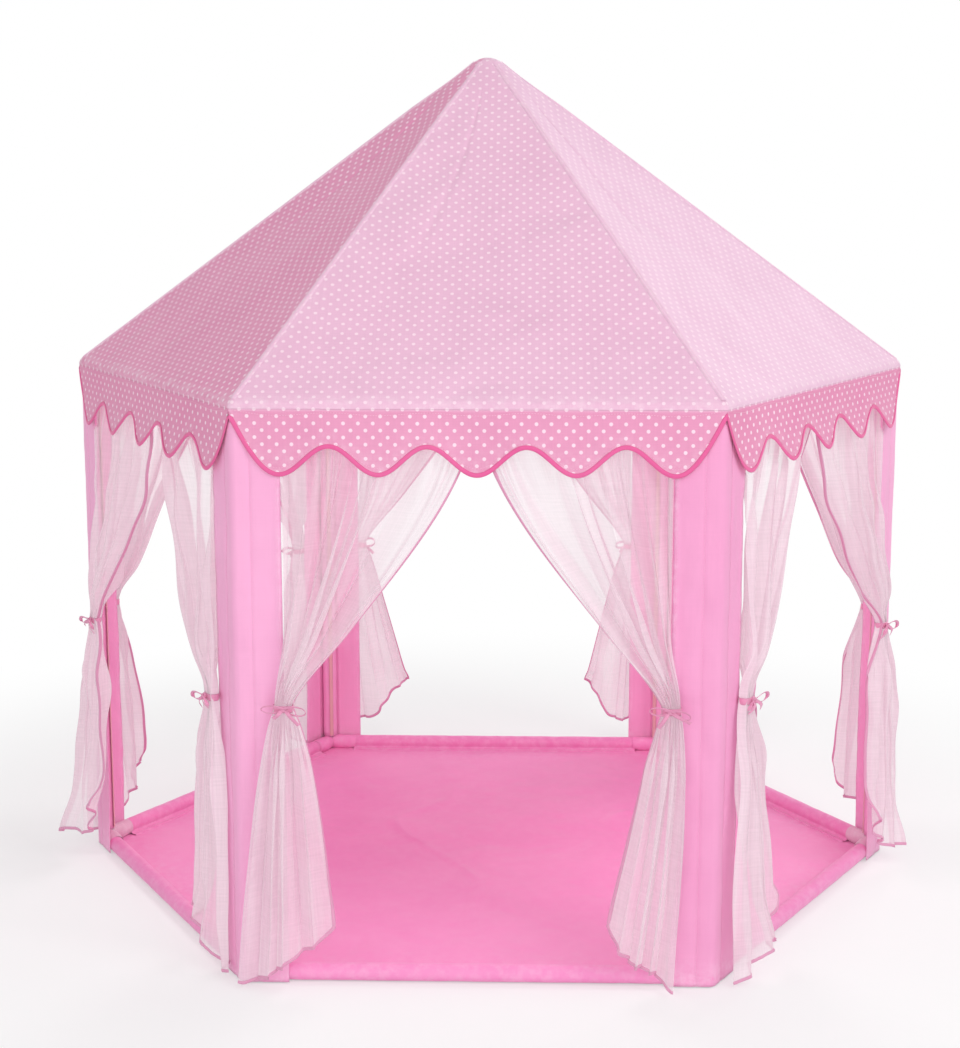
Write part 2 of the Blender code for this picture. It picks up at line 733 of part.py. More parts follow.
def build_curtains():
    """Two curtains in each bay. A tail's origin is on its swing axis, at the tie."""
    bay_middle = Vector((0, -APOTHEM, 0))
    for side, hand in ((-1, "left"), (1, "right")):
        along = side * (BAY_LENGTH / 2 - WAIST_ACROSS)
        tie = Vector((along, -WAIST_OUT, WAIST_HEIGHT))
        drape = cloth_mesh(f"curtain_{hand}", drape_rings(side), Vector())
        tail = cloth_mesh(f"curtain_tail_{hand}", tail_rings(side), tie)
        for bay, name in enumerate(BAYS):
            turn = bay_turn(bay)
            add_object(f"curtain_{name}_{hand}", drape, "sheer_cloth", bay_middle, turn)
            add_object(f"curtain_tail_{name}_{hand}", tail, "sheer_cloth", bay_middle + tie, turn)


def main():
    clear_scene()
    build_hub()
    build_rafters()
    build_eave_rails()
    build_posts()
    build_base_rails()
    build_canopy()
    build_floor()
    build_panels()
    build_curtains()


main()
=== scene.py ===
# %% [markdown]
# # A child's play tent in pink cloth
# The tent is a light frame of plastic tubes that hides in cloth sleeves. Nearly all that shows is thin cloth: a
# printed pyramid roof with scalloped valances, plain corner panels, a floor sheet and twelve sheer curtains tied back
# at the posts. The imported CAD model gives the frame, and this lesson sews the cloth on it.

# %% The frame that everything hangs on
import math

import bmesh
import bpy
import numpy as np
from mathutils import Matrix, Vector


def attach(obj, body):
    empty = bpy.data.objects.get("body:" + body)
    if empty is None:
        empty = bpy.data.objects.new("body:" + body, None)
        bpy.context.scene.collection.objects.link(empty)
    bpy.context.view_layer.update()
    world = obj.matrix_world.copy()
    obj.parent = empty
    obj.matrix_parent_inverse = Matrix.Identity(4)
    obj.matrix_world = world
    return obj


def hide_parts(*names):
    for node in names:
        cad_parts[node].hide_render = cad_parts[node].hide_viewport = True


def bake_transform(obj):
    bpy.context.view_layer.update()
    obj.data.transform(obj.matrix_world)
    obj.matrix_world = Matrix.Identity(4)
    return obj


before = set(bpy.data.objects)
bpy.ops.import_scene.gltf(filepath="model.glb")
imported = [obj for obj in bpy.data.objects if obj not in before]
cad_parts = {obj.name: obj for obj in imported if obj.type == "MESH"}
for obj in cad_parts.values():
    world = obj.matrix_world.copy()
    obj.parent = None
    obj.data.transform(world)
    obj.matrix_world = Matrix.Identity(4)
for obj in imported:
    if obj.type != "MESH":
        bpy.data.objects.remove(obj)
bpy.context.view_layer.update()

# %% [markdown]
# ## Sizes
# The cloth has to lie on the CAD's tubes, so the tent's own sizes are repeated here in metres. "Out" is the distance
# from a bay's plane, which holds the eave rail's axis and the base rail's axis. Only the roof and the floor sheet are
# measured out from the tent's own axis. A "skin" is the distance of a cloth from the axis of the tube that carries it.

# %% Sizes of the tent
SIDES = 6
TURN = math.tau / SIDES
POST_CIRCUMRADIUS = 0.684
EAVE_HEIGHT = 0.862
ROOF_RISE = 0.5025
APOTHEM = POST_CIRCUMRADIUS * math.cos(TURN / 2)
BAY_LENGTH = 2 * POST_CIRCUMRADIUS * math.sin(TURN / 2)
ROOF_TILT = math.atan2(ROOF_RISE, APOTHEM)
ROOF_SKIN = 0.0163
PANEL_SKIN = 0.0148
SLEEVE_SKIN = 0.0156
BASE_SLEEVE_SKIN = 0.0133
BASE_HEIGHT = 0.0138
HANGING_TOP = 0.8459
CAP_RADIUS = 0.0352
CAP_CENTRE = EAVE_HEIGHT + ROOF_RISE + (ROOF_SKIN - CAP_RADIUS) / math.cos(ROOF_TILT)
CORNERS = ("right", "rear_right", "rear_left", "left", "front_left", "front_right")
BAYS = ("right_rear", "rear", "left_rear", "left_front", "front", "right_front")
FRONT = BAYS.index("front")
bay_turns = [(bay - FRONT) * TURN for bay in range(SIDES)]
corner_turns = [corner * TURN + math.pi / 2 for corner in range(SIDES)]
print(f"bays {BAY_LENGTH * 1000:.0f} mm long, roof tilted {math.degrees(ROOF_TILT):.1f} degrees")

# %% [markdown]
# ## Camera
# The camera was fitted to the corner points of the eave and the floor in the photograph, and it is set before
# anything is made, so that every piece can be judged from the right place.

# %% Camera at the photograph's place
LENS = 67.589
CAMERA_PLACE = (0.0820, -3.3595, 1.206)
YAW, PITCH, TENT_TURN = -0.0038, 0.1825, 0.0244
camera = bpy.data.objects.new("camera", bpy.data.cameras.new("camera"))
bpy.context.scene.collection.objects.link(camera)
camera.data.lens = LENS
camera.data.clip_start = 0.05
aim = Vector((math.sin(YAW) * math.cos(PITCH), math.cos(YAW) * math.cos(PITCH), -math.sin(PITCH)))
cosine, sine = math.cos(TENT_TURN), math.sin(TENT_TURN)
aim = Vector((cosine * aim.x - sine * aim.y, sine * aim.x + cosine * aim.y, aim.z))
camera.location = CAMERA_PLACE
camera.rotation_euler = aim.to_track_quat("-Z", "Y").to_euler()
bpy.context.scene.camera = camera
print("camera looks along", [round(v, 3) for v in aim])

# %% [markdown]
# ## Light
# A soft studio: an even world does most of the work, and one large lamp at the front right makes the right side of
# the roof the palest and the left side the deepest pink, helped by painted shade in the roof's own colour. A weaker
# one fills the front, and a lamp behind adds a pale sheen to the right side. Thin cloth lets some light through, so a
# weak lamp hangs under the roof and brightens the inside. The background is pure white only where it is looked at,
# so that white adds no light to the cloth.

# %% Helpers that write node trees


def node(tree, kind, **settings):
    """A new node with its settings."""
    made = tree.nodes.new(kind)
    for setting, value in settings.items():
        setattr(made, setting, value)
    return made


def put(tree, socket, value):
    """Joins an output to a socket, or writes a plain value on it."""
    if isinstance(value, bpy.types.NodeSocket):
        tree.links.new(value, socket)
    elif value is not None:
        socket.default_value = value


def reckon(tree, operation, *values, clamp=False):
    """One Math node, with sockets or numbers as its values."""
    made = node(tree, "ShaderNodeMath", operation=operation, use_clamp=clamp)
    for socket, value in zip(made.inputs, values):
        put(tree, socket, value)
    return made.outputs[0]


def vector_reckon(tree, operation, *values, output="Vector"):
    """One Vector Math node, in the same way."""
    made = node(tree, "ShaderNodeVectorMath", operation=operation)
    for socket, value in zip(made.inputs, values):
        put(tree, socket, value)
    return made.outputs[output]


def ramp(tree, value, low, high, to_low=0.0, to_high=1.0):
    """A smooth change from one number to another while the value goes from low to high."""
    made = node(tree, "ShaderNodeMapRange", interpolation_type="SMOOTHSTEP")
    put(tree, made.inputs["Value"], value)
    for label, number in (("From Min", low), ("From Max", high), ("To Min", to_low), ("To Max", to_high)):
        put(tree, made.inputs[label], number)
    return made.outputs["Result"]


print("node helpers ready")

# %% World: white to the camera, and an even light on the tent
WORLD_LIGHT = 0.64
WHITE = (1, 1, 1, 1)


def is_looked_at(tree):
    """1 for a ray that shows the background, to the camera or in a gloss, and 0 for one that only carries light."""
    rays = node(tree, "ShaderNodeLightPath")
    seen = reckon(tree, "MAXIMUM", rays.outputs["Is Camera Ray"], rays.outputs["Is Glossy Ray"])
    return reckon(tree, "MAXIMUM", seen, rays.outputs["Is Transmission Ray"])


world = bpy.data.worlds.new("studio")
world.use_nodes = True
bpy.context.scene.world = world
sky = world.node_tree
sky.nodes.clear()
soft_light = node(sky, "ShaderNodeBackground")
soft_light.inputs["Color"].default_value = WHITE
soft_light.inputs["Strength"].default_value = WORLD_LIGHT
backdrop = node(sky, "ShaderNodeBackground")
backdrop.inputs["Color"].default_value = WHITE
either = node(sky, "ShaderNodeMixShader")
put(sky, either.inputs[0], is_looked_at(sky))
put(sky, either.inputs[1], soft_light.outputs[0])
put(sky, either.inputs[2], backdrop.outputs[0])
put(sky, node(sky, "ShaderNodeOutputWorld").inputs["Surface"], either.outputs[0])
print("world light", WORLD_LIGHT)

# %% Lamps


def area_lamp(name, place, target, size, watts):
    """A square lamp that looks at its target."""
    lamp = bpy.data.objects.new(name, bpy.data.lights.new(name, "AREA"))
    lamp.data.size = size
    lamp.data.energy = watts
    lamp.location = place
    lamp.rotation_euler = (Vector(target) - Vector(place)).to_track_quat("-Z", "Y").to_euler()
    bpy.context.scene.collection.objects.link(lamp)
    return lamp


area_lamp("key_lamp", place=(3.0, -3.2, 3.6), target=(0, 0, 0.8), size=2.4, watts=68)
area_lamp("front_lamp", place=(-0.8, -4.2, 1.5), target=(0, 0, 0.5), size=2.6, watts=30)
area_lamp("back_lamp", place=(3.0, 4.4, 2.9), target=(0.3, 0, 1.0), size=2.2, watts=50)
glow = area_lamp("glow_lamp", place=(0, 0, 1.02), target=(0, 0, 0), size=0.42, watts=2.8)
glow.visible_camera = False

# %% How the picture is made: plain colours, and rays that pass many layers of sheer cloth
bpy.context.scene.view_settings.view_transform = "Standard"
bpy.context.scene.cycles.transparent_max_bounces = 32
print("view:", bpy.context.scene.view_settings.view_transform)

# %% The floor of the studio: pale, with the tent's shadow, fading to the white background
FADE_FROM, FADE_TO = 0.75, 1.7
WHITE_UNDER_TENT = 0.45
FLOOR_REACH = 14
FLOOR_DROP = 0.0006
pale_floor = bpy.data.materials.new("studio_floor")
pale_floor.use_nodes = True
tree = pale_floor.node_tree
floor_shader = tree.nodes["Principled BSDF"]
floor_shader.inputs["Base Color"].default_value = (0.93, 0.93, 0.93, 1)
floor_shader.inputs["Roughness"].default_value = 0.9
white = node(tree, "ShaderNodeEmission")
place = node(tree, "ShaderNodeTexCoord")
distance = vector_reckon(tree, "LENGTH", place.outputs["Object"], output="Value")
far = ramp(tree, distance, FADE_FROM, FADE_TO, WHITE_UNDER_TENT)
faded = reckon(tree, "MULTIPLY", far, is_looked_at(tree))
mixed = node(tree, "ShaderNodeMixShader")
put(tree, mixed.inputs[0], faded)
put(tree, mixed.inputs[1], floor_shader.outputs[0])
put(tree, mixed.inputs[2], white.outputs[0])
put(tree, tree.nodes["Material Output"].inputs["Surface"], mixed.outputs[0])
ground = bpy.data.meshes.new("studio_floor")
floor_corners = [(x * FLOOR_REACH, y * FLOOR_REACH, 0) for x, y in ((-1, -1), (1, -1), (1, 1), (-1, 1))]
ground.from_pydata(floor_corners, [], [(0, 1, 2, 3)])
ground.materials.append(pale_floor)
ground_object = bpy.data.objects.new("studio_floor", ground)
ground_object.location.z = -FLOOR_DROP
bpy.context.scene.collection.objects.link(ground_object)
print("studio floor laid")

# %% [markdown]
# ## What the cloths have in common
# All the cloths share the same effects: the weave of the threads, soft creases, uneven colour and wear. Each effect is
# a node group with named inputs, built once. Weave and dots read the cloth's own UV map, which is laid out in metres,
# so a thread or a dot has its real size on every piece. Creases and dye read Object coordinates, and so run on across
# a seam.

# %% Helpers for node groups
KINDS = {float: "NodeSocketFloat", tuple: "NodeSocketColor", Vector: "NodeSocketVector"}


def new_group(name, inputs, outputs):
    """A shader node group with named inputs, given with their first values, and named outputs."""
    group = bpy.data.node_groups.new(name, "ShaderNodeTree")
    for label, value in inputs.items():
        socket = group.interface.new_socket(label, in_out="INPUT", socket_type=KINDS[type(value)])
        if type(value) is not Vector:
            socket.default_value = value
    for label, kind in outputs.items():
        group.interface.new_socket(label, in_out="OUTPUT", socket_type=KINDS[kind])
    return group, node(group, "NodeGroupInput").outputs, node(group, "NodeGroupOutput").inputs


def noise(tree, vector, scale, detail, roughness):
    """A Noise Texture's value."""
    made = node(tree, "ShaderNodeTexNoise")
    put(tree, made.inputs["Vector"], vector)
    put(tree, made.inputs["Scale"], scale)
    made.inputs["Detail"].default_value = detail
    made.inputs["Roughness"].default_value = roughness
    return made.outputs[0]


def mix_colour(tree, share, first, second, blend="MIX"):
    """A Mix node for colours, whose colour sockets have no names of their own."""
    made = node(tree, "ShaderNodeMix", data_type="RGBA", blend_type=blend)
    first_colour, second_colour, mixed_colour = made.inputs[6], made.inputs[7], made.outputs[2]
    put(tree, made.inputs["Factor"], share)
    put(tree, first_colour, first)
    put(tree, second_colour, second)
    return mixed_colour


print("group helpers ready")

# %% Node group: the weave


def build_weave():
    """A plain weave of fine threads, and the slubs that make some threads thicker than others."""
    inputs = {"Cloth Place": Vector(), "Thread Pitch": 0.0007, "Slub": 0.5}
    group, given, result = new_group("woven_threads", inputs, {"Height": float, "Shade": float})
    pitch = node(group, "ShaderNodeCombineXYZ")
    for axis in range(3):
        put(group, pitch.inputs[axis], given["Thread Pitch"])
    threads = vector_reckon(group, "DIVIDE", given["Cloth Place"], pitch.outputs[0])
    parts = node(group, "ShaderNodeSeparateXYZ")
    put(group, parts.inputs[0], threads)
    waves = [reckon(group, "SINE", reckon(group, "MULTIPLY", parts.outputs[axis], math.pi)) for axis in range(2)]
    bumps = reckon(group, "MULTIPLY", *waves)
    put(group, result["Height"], reckon(group, "MULTIPLY_ADD", bumps, 0.5, 0.5))
    streaks = []
    across_threads, along_threads = 0.35, 0.012
    for stretch in ((along_threads, across_threads, 1.0), (across_threads, along_threads, 1.0)):
        stretched = vector_reckon(group, "MULTIPLY", threads, stretch)
        streaks.append(noise(group, stretched, 1.0, 3.0, 0.6))
    both = reckon(group, "ADD", *streaks)
    centred = reckon(group, "SUBTRACT", both, 1.0)
    put(group, result["Shade"], reckon(group, "MULTIPLY_ADD", centred, given["Slub"], 1.0))
    return group


woven_threads = build_weave()
print("group:", woven_threads.name)

# %% Node group: creases


def build_crumple():
    """Soft creases where cloth was folded and handled: broad swells and a few sharper lines."""
    inputs = {"Object Place": Vector(), "Crease Scale": 14.0}
    group, given, result = new_group("soft_creases", inputs, {"Height": float})
    broad = noise(group, given["Object Place"], given["Crease Scale"], 2.0, 0.4)
    lines = noise(group, given["Object Place"], reckon(group, "MULTIPLY", given["Crease Scale"], 0.55), 1.5, 0.45)
    fold = ramp(group, reckon(group, "ABSOLUTE", reckon(group, "SUBTRACT", lines, 0.5)), 0.0, 0.16)
    put(group, result["Height"], reckon(group, "MULTIPLY_ADD", fold, 0.5, broad))
    return group


soft_creases = build_crumple()
print("group:", soft_creases.name)

# %% Node group: uneven dye and wear


def build_ageing():
    """Uneven dye, and the paler rubbed cloth along seams and hems."""
    inputs = {
        "Colour": (0.8, 0.5, 0.6, 1.0),
        "Rubbed Colour": (0.9, 0.7, 0.8, 1.0),
        "Object Place": Vector(),
        "Wear": 0.0,
        "Unevenness": 0.1,
    }
    outputs = {"Colour": tuple, "Rubbing": float}
    group, given, result = new_group("dye_and_wear", inputs, outputs)
    clouds = noise(group, given["Object Place"], 5.0, 4.0, 0.6)
    swing = reckon(group, "MULTIPLY", reckon(group, "SUBTRACT", clouds, 0.5), given["Unevenness"])
    tinted = node(group, "ShaderNodeHueSaturation")
    put(group, tinted.inputs["Color"], given["Colour"])
    put(group, tinted.inputs["Value"], reckon(group, "ADD", swing, 1.0))
    put(group, tinted.inputs["Saturation"], reckon(group, "MULTIPLY_ADD", swing, -1.2, 1.0))
    scuffs = ramp(group, noise(group, given["Object Place"], 70.0, 3.0, 0.7), 0.35, 0.75)
    rubbed = reckon(group, "MULTIPLY", scuffs, given["Wear"], clamp=True)
    put(group, result["Colour"], mix_colour(group, rubbed, tinted.outputs[0], given["Rubbed Colour"]))
    put(group, result["Rubbing"], rubbed)
    return group


dye_and_wear = build_ageing()
print("group:", dye_and_wear.name)

# %% Node group: polka dots


def build_dots():
    """Two square grids of round dots, the second in the middle of the first one's squares."""
    inputs = {"Cloth Place": Vector(), "Pitch Across": 0.021, "Pitch Down": 0.02, "Dot Radius": 0.0027}
    soft_edge = 0.0005
    group, given, result = new_group("polka_dots", inputs, {"Dots": float})
    pitch = node(group, "ShaderNodeCombineXYZ")
    for axis, label in enumerate(("Pitch Across", "Pitch Down", "Pitch Down")):
        put(group, pitch.inputs[axis], given[label])
    flat = vector_reckon(group, "MULTIPLY", given["Cloth Place"], (1, 1, 0))
    cells = vector_reckon(group, "DIVIDE", flat, pitch.outputs[0])
    masks = []
    for shift in (0.0, 0.5):
        cell = vector_reckon(group, "FRACTION", vector_reckon(group, "ADD", cells, (shift, shift, 0)))
        centred = vector_reckon(group, "SUBTRACT", cell, (0.5, 0.5, 0))
        reach = vector_reckon(group, "MULTIPLY", centred, pitch.outputs[0])
        from_middle = vector_reckon(group, "LENGTH", reach, output="Value")
        edge = reckon(group, "SUBTRACT", from_middle, given["Dot Radius"])
        masks.append(ramp(group, edge, -soft_edge, soft_edge, 1.0, 0.0))
    put(group, result["Dots"], reckon(group, "MAXIMUM", *masks))
    return group


polka_dots = build_dots()
print("group:", polka_dots.name)

# %% [markdown]
# ## Materials
# The roof and its valances are printed polyester with white dots. The panels and the floor are the same cloth left
# plain, the floor with a coating that makes it a little glossier. Thin cloth shows its weave as a faint unevenness
# and its handling as soft creases, so both go into the bump, at their real depth in metres.

# %% Helpers for materials


def linear(hex_colour):
    """The scene's linear colour for a colour written as it looks on a screen."""
    parts = [int(hex_colour[k : k + 2], 16) / 255 for k in (0, 2, 4)]
    return tuple(v / 12.92 if v < 0.04045 else ((v + 0.055) / 1.055) ** 2.4 for v in parts) + (1.0,)


def use_group(tree, group, values):
    """Places a node group in a material, with the material's own values."""
    made = node(tree, "ShaderNodeGroup", node_tree=group)
    for label, value in values.items():
        put(tree, made.inputs[label], value)
    return made.outputs


def start_material(name):
    """A new material, its tree, its shader, and the outputs of its Texture Coordinate node."""
    material = bpy.data.materials.new(name)
    material.use_nodes = True
    tree = material.node_tree
    return material, tree, tree.nodes["Principled BSDF"], node(tree, "ShaderNodeTexCoord").outputs


def mark(tree, name):
    """What the points of a piece carry under this name, such as how worn each one is."""
    return node(tree, "ShaderNodeAttribute", attribute_name=name).outputs["Fac"]


def add_bump(tree, shader, heights):
    """Stacks Bump nodes: each height has its depth in metres."""
    normal = None
    for height, depth in heights:
        bump = node(tree, "ShaderNodeBump")
        bump.inputs["Distance"].default_value = depth
        put(tree, bump.inputs["Height"], height)
        put(tree, bump.inputs["Normal"], normal)
        normal = bump.outputs[0]
    put(tree, shader.inputs["Normal"], normal)


print("hot pink in linear light:", [round(v, 2) for v in linear("E8649F")])

# %% How a cloth is coloured and finished


def woven_colour(tree, place, weave, ground, rubbed):
    """A cloth's colour with its uneven dye, its rubbed places and its threads, and a mask of the rubbed places."""
    values = {"Colour": ground, "Rubbed Colour": linear(rubbed), "Object Place": place["Object"]}
    aged = use_group(tree, dye_and_wear, {**values, "Wear": mark(tree, "wear"), "Unevenness": 0.1})
    return mix_colour(tree, 1.0, aged["Colour"], weave["Shade"], "MULTIPLY"), aged["Rubbing"]


def finish_cloth(tree, shader, place, weave, sheen, specular, crease_scale, crease, thread):
    """What every cloth's shader ends with: its sheen, and creases and threads at their depth in metres."""
    shader.inputs["Sheen Weight"].default_value = sheen
    shader.inputs["Sheen Roughness"].default_value = 0.4
    shader.inputs["Specular IOR Level"].default_value = specular
    folds = use_group(tree, soft_creases, {"Object Place": place["Object"], "Crease Scale": crease_scale})["Height"]
    add_bump(tree, shader, [(folds, crease), (weave["Height"], thread)])


def cloth_material(name, colour, rubbed, roughness, sheen, slub=0.1, crease=0.004, dots=None, deep=None):
    """A cloth with colours written as they look: plain, rubbed and, where it has them, its dots and a deeper colour of
    painted shade.
    """
    material, tree, shader, place = start_material(name)
    weave = use_group(tree, woven_threads, {"Cloth Place": place["UV"], "Thread Pitch": 0.0008, "Slub": slub})
    ground = linear(colour)
    if deep:
        # Painted shade: the deep colour, as far as the points carry it.
        ground = mix_colour(tree, mark(tree, "painted_shade"), ground, linear(deep))
    if dots:
        spots = use_group(tree, polka_dots, {"Cloth Place": place["UV"]})["Dots"]
        ground = mix_colour(tree, spots, ground, linear(dots))
    shaded, rubbing = woven_colour(tree, place, weave, ground, rubbed)
    put(tree, shader.inputs["Base Color"], shaded)
    dull = reckon(tree, "MULTIPLY_ADD", rubbing, 0.15, roughness)
    put(tree, shader.inputs["Roughness"], reckon(tree, "MULTIPLY", dull, weave["Shade"], clamp=True))
    finish_cloth(tree, shader, place, weave, sheen, 0.35, 13.0, crease, 0.00012)
    return material


print("cloth finish ready")

# %% The solid cloths
# The deep colours are painted shade, mixed in where a piece's points carry it: the roof, one panel, the floor's middle
# and the base sleeves.
plain, coated = {"slub": 0.05, "deep": "EC8FC0"}, {"slub": 0.02, "crease": 0.003, "deep": "E878B4"}
printed_roof = cloth_material("printed_roof_cloth", "EFC4DD", "F6D9E7", 0.6, 0.15, dots="FDDDEC", deep="E890B8")
plain_panel = cloth_material("plain_panel_cloth", "FBB2DA", "FFD2EA", 0.6, 0.15, **plain)
coated_floor = cloth_material("coated_floor_cloth", "FA98CE", "FCB8DC", 0.45, 0.1, **coated)
pink_binding = cloth_material("hot_pink_binding", "E8649F", "F29AC0", 0.55, 0.3, slub=0.5, crease=0.001)
dusty_binding = cloth_material("dusty_pink_binding", "E2A0C0", "EDC2D5", 0.5, 0.3, slub=0.3, crease=0.001)
satin_ribbon = cloth_material("satin_ribbon", "E89CBE", "F0B8D0", 0.32, 0.25, slub=0.4, crease=0.001)
peach_tape = cloth_material("peach_tape", "E6B2B4", "EBC8C8", 0.7, 0.2, slub=0.5, crease=0.001)
sewing_thread = cloth_material("sewing_thread", "F6C4DC", "F6D6E6", 0.6, 0.4, slub=0.8, crease=0.0002)
print("roof, panels and floor:", printed_roof.name, plain_panel.name, coated_floor.name)

# %% [markdown]
# ## Sheer curtain cloth
# Organza is so open that it is seen through. Where a fold turns it edge on, the eye meets more threads, and it looks
# whiter and denser. Each point of a curtain therefore carries a number of layers, which grows where the cloth stands
# steeply to its bay. The alpha is worked out from it, as for so many layers, so it holds from every side. Light also
# comes through the threads from behind. A translucent shader could show that, but an exported model loses it.
# Instead of a translucent shader, the cloth gives a share of its colour as a faint painted glow.

# %% Material of the sheer curtains
SHEER_COVER = 0.47
LET_THROUGH = 0.30


def sheer_material():
    """Organza: its alpha follows the layers of thread, and a share of its colour stands for light through it."""
    material, tree, shader, place = start_material("sheer_curtain_cloth")
    weave = use_group(tree, woven_threads, {"Cloth Place": place["UV"], "Thread Pitch": 0.0011, "Slub": 0.16})
    shaded, _ = woven_colour(tree, place, weave, linear("F3DCE6"), "F8E8F0")
    put(tree, shader.inputs["Base Color"], mix_colour(tree, LET_THROUGH, shaded, (0.0, 0.0, 0.0, 1.0)))
    put(tree, shader.inputs["Emission Color"], shaded)
    shader.inputs["Emission Strength"].default_value = LET_THROUGH
    threads = reckon(tree, "MULTIPLY", mark(tree, "layers"), weave["Shade"])
    cover = reckon(tree, "SUBTRACT", 1.0, reckon(tree, "POWER", 1 - SHEER_COVER, threads), clamp=True)
    put(tree, shader.inputs["Alpha"], cover)
    put(tree, shader.inputs["Roughness"], reckon(tree, "MULTIPLY", 0.42, weave["Shade"], clamp=True))
    finish_cloth(tree, shader, place, weave, 0.6, 0.3, 26.0, 0.002, 0.00015)
    return material


sheer_cloth = sheer_material()
print("one layer covers", SHEER_COVER)

# %% [markdown]
# ## Plastic of the frame
# The tubes and their moulded fittings are off-white plastic. Extruded and moulded parts have a fine pebble in the
# skin, slight unevenness in gloss and colour, and a few scuffs from being pushed together and pulled apart.

# %% Material of the tubes and fittings


def plastic_material():
    """Off-white plastic with a fine grain, cloudy gloss and a few darker scuffs."""
    material, tree, shader, place = start_material("off_white_plastic")
    grain = noise(tree, place["Object"], 900.0, 2.0, 0.5)
    clouds = noise(tree, place["Object"], 18.0, 3.0, 0.6)
    scuffs = ramp(tree, noise(tree, place["Object"], 140.0, 4.0, 0.7), 0.6, 0.72)
    base = mix_colour(tree, clouds, linear("E6E4DE"), linear("D9D6CE"))
    scuffed = mix_colour(tree, reckon(tree, "MULTIPLY", scuffs, 0.35), base, linear("B9B4AA"))
    put(tree, shader.inputs["Base Color"], scuffed)
    put(tree, shader.inputs["Roughness"], ramp(tree, clouds, 0.2, 0.8, 0.34, 0.5))
    add_bump(tree, shader, [(grain, 0.0001), (scuffs, 0.0001)])
    return material


frame_plastic = plastic_material()
for name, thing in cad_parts.items():
    if name.startswith(("top_hub", "rafter", "eave_rail", "post", "base_rail")):
        thing.data.materials.clear()
        thing.data.materials.append(frame_plastic)
print("plastic on", sum(frame_plastic.name in n.data.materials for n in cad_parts.values()), "nodes")

# %% [markdown]
# ## From points to cloth
# Every cloth here starts as grids of points worked out with numpy in the front bay's own frame, where "along" runs
# to the right, "out" towards the camera and z up. A grid becomes a mesh with its UV map in metres. Grids that share
# an edge are welded, so the surface runs on without a gap, while the UV map may still break at a seam, as the print
# does on real cut pieces.

# %% Helpers for places on the tent


def turned(points, angle):
    """Points of the front bay's frame, turned with their bay about the tent's axis."""
    x, y, z = np.moveaxis(np.asarray(points, float), -1, 0)
    cosine, sine = math.cos(angle), math.sin(angle)
    return np.stack([cosine * x - sine * y, sine * x + cosine * y, z], axis=-1)


def in_bay(along, out, height):
    """Points from their place along the front bay, out from its plane, and their height."""
    along, out, height = np.broadcast_arrays(along, out, height)
    return np.stack([along, -APOTHEM - out, height], axis=-1)


def swell(value, low, high):
    """0 below low, 1 above high, and a smooth rise between."""
    t = np.clip((np.asarray(value, float) - low) / (high - low), 0, 1)
    return t * t * (3 - 2 * t)


def soft_noise(first, second, size, seed, waves=7):
    """Smooth random swells about this far apart, from -1 to 1, the same in every run."""
    rng = np.random.default_rng(seed)
    total = 0
    for _ in range(waves):
        way, phase = rng.uniform(0, math.tau, 2)
        length = size * rng.uniform(0.6, 1.7)
        total = total + np.sin(math.tau * (first * math.cos(way) + second * math.sin(way)) / length + phase)
    return total / (1.6 * math.sqrt(waves))


print("front bay's plane at y =", round(-APOTHEM, 4))

# %% Helpers for meshes


def show(name, mesh, material):
    """A finished piece: its object in the scene, at the origin."""
    thing = bpy.data.objects.new(name, mesh)
    bpy.context.scene.collection.objects.link(thing)
    mesh.materials.clear()
    mesh.materials.append(material)
    return thing


def set_marks(mesh, name, values):
    """Writes one number for each point, or one direction where the mark's name ends with _way."""
    kind, field = ("FLOAT_VECTOR", "vector") if name.endswith("_way") else ("FLOAT", "value")
    mesh.attributes.new(name, kind, "POINT").data.foreach_set(field, np.asarray(values, np.float32).ravel())


def get_marks(mesh, name):
    """The number that each point carries under this name."""
    values = np.zeros(len(mesh.vertices), np.float32)
    mesh.attributes[name].data.foreach_get("value", values)
    return values


def points_of(mesh):
    """The places of a mesh's points."""
    values = np.zeros(len(mesh.vertices) * 3, np.float32)
    mesh.vertices.foreach_get("co", values)
    return values.reshape(-1, 3)


def sheet_mesh(name, patches, weld=0.00002):
    """One mesh from patches. A patch has points and UV by row and column, seen from outside with the rows going
    down and the columns to the right, and named marks for its points."""
    points, faces, uvs, marks, start = [], [], [], {}, 0
    for grid, uv, named in patches:
        rows, columns = grid.shape[:2]
        index = np.arange(rows * columns).reshape(rows, columns) + start
        quads = [index[:-1, :-1], index[1:, :-1], index[1:, 1:], index[:-1, 1:]]
        faces.append(np.stack(quads, axis=-1).reshape(-1, 4))
        points.append(grid.reshape(-1, 3))
        uvs.append(np.broadcast_to(uv, (rows, columns, 2)).reshape(-1, 2))
        for label, values in named.items():
            shape = (rows, columns, 3) if label.endswith("_way") else (rows, columns)
            marks.setdefault(label, []).append(np.broadcast_to(values, shape).reshape(rows * columns, -1))
        start += rows * columns
    points, faces, uvs = np.concatenate(points), np.concatenate(faces), np.concatenate(uvs)
    mesh = bpy.data.meshes.new(name)
    mesh.from_pydata(points.tolist(), [], faces.tolist())
    mesh.uv_layers.new(name="cloth").data.foreach_set("uv", uvs[faces.ravel()].astype(np.float32).ravel())
    for label, values in marks.items():
        set_marks(mesh, label, np.concatenate(values))
    if weld:
        bm = bmesh.new()
        bm.from_mesh(mesh)
        bmesh.ops.remove_doubles(bm, verts=bm.verts, dist=weld)
        bm.to_mesh(mesh)
        bm.free()
    mesh.shade_smooth()
    return mesh


def path_mesh(name, paths, closed=False, **marks):
    """A mesh of edges only, along each path, with named marks for its points."""
    edges, start = [], 0
    for path in paths:
        count = len(path)
        edges += [(start + k, start + k + 1) for k in range(count - 1)]
        if closed:
            edges.append((start + count - 1, start))
        start += count
    mesh = bpy.data.meshes.new(name)
    mesh.from_pydata(np.concatenate(paths).tolist(), edges, [])
    for label, values in marks.items():
        set_marks(mesh, label, np.concatenate(values))
    return mesh


print("mesh helpers ready")

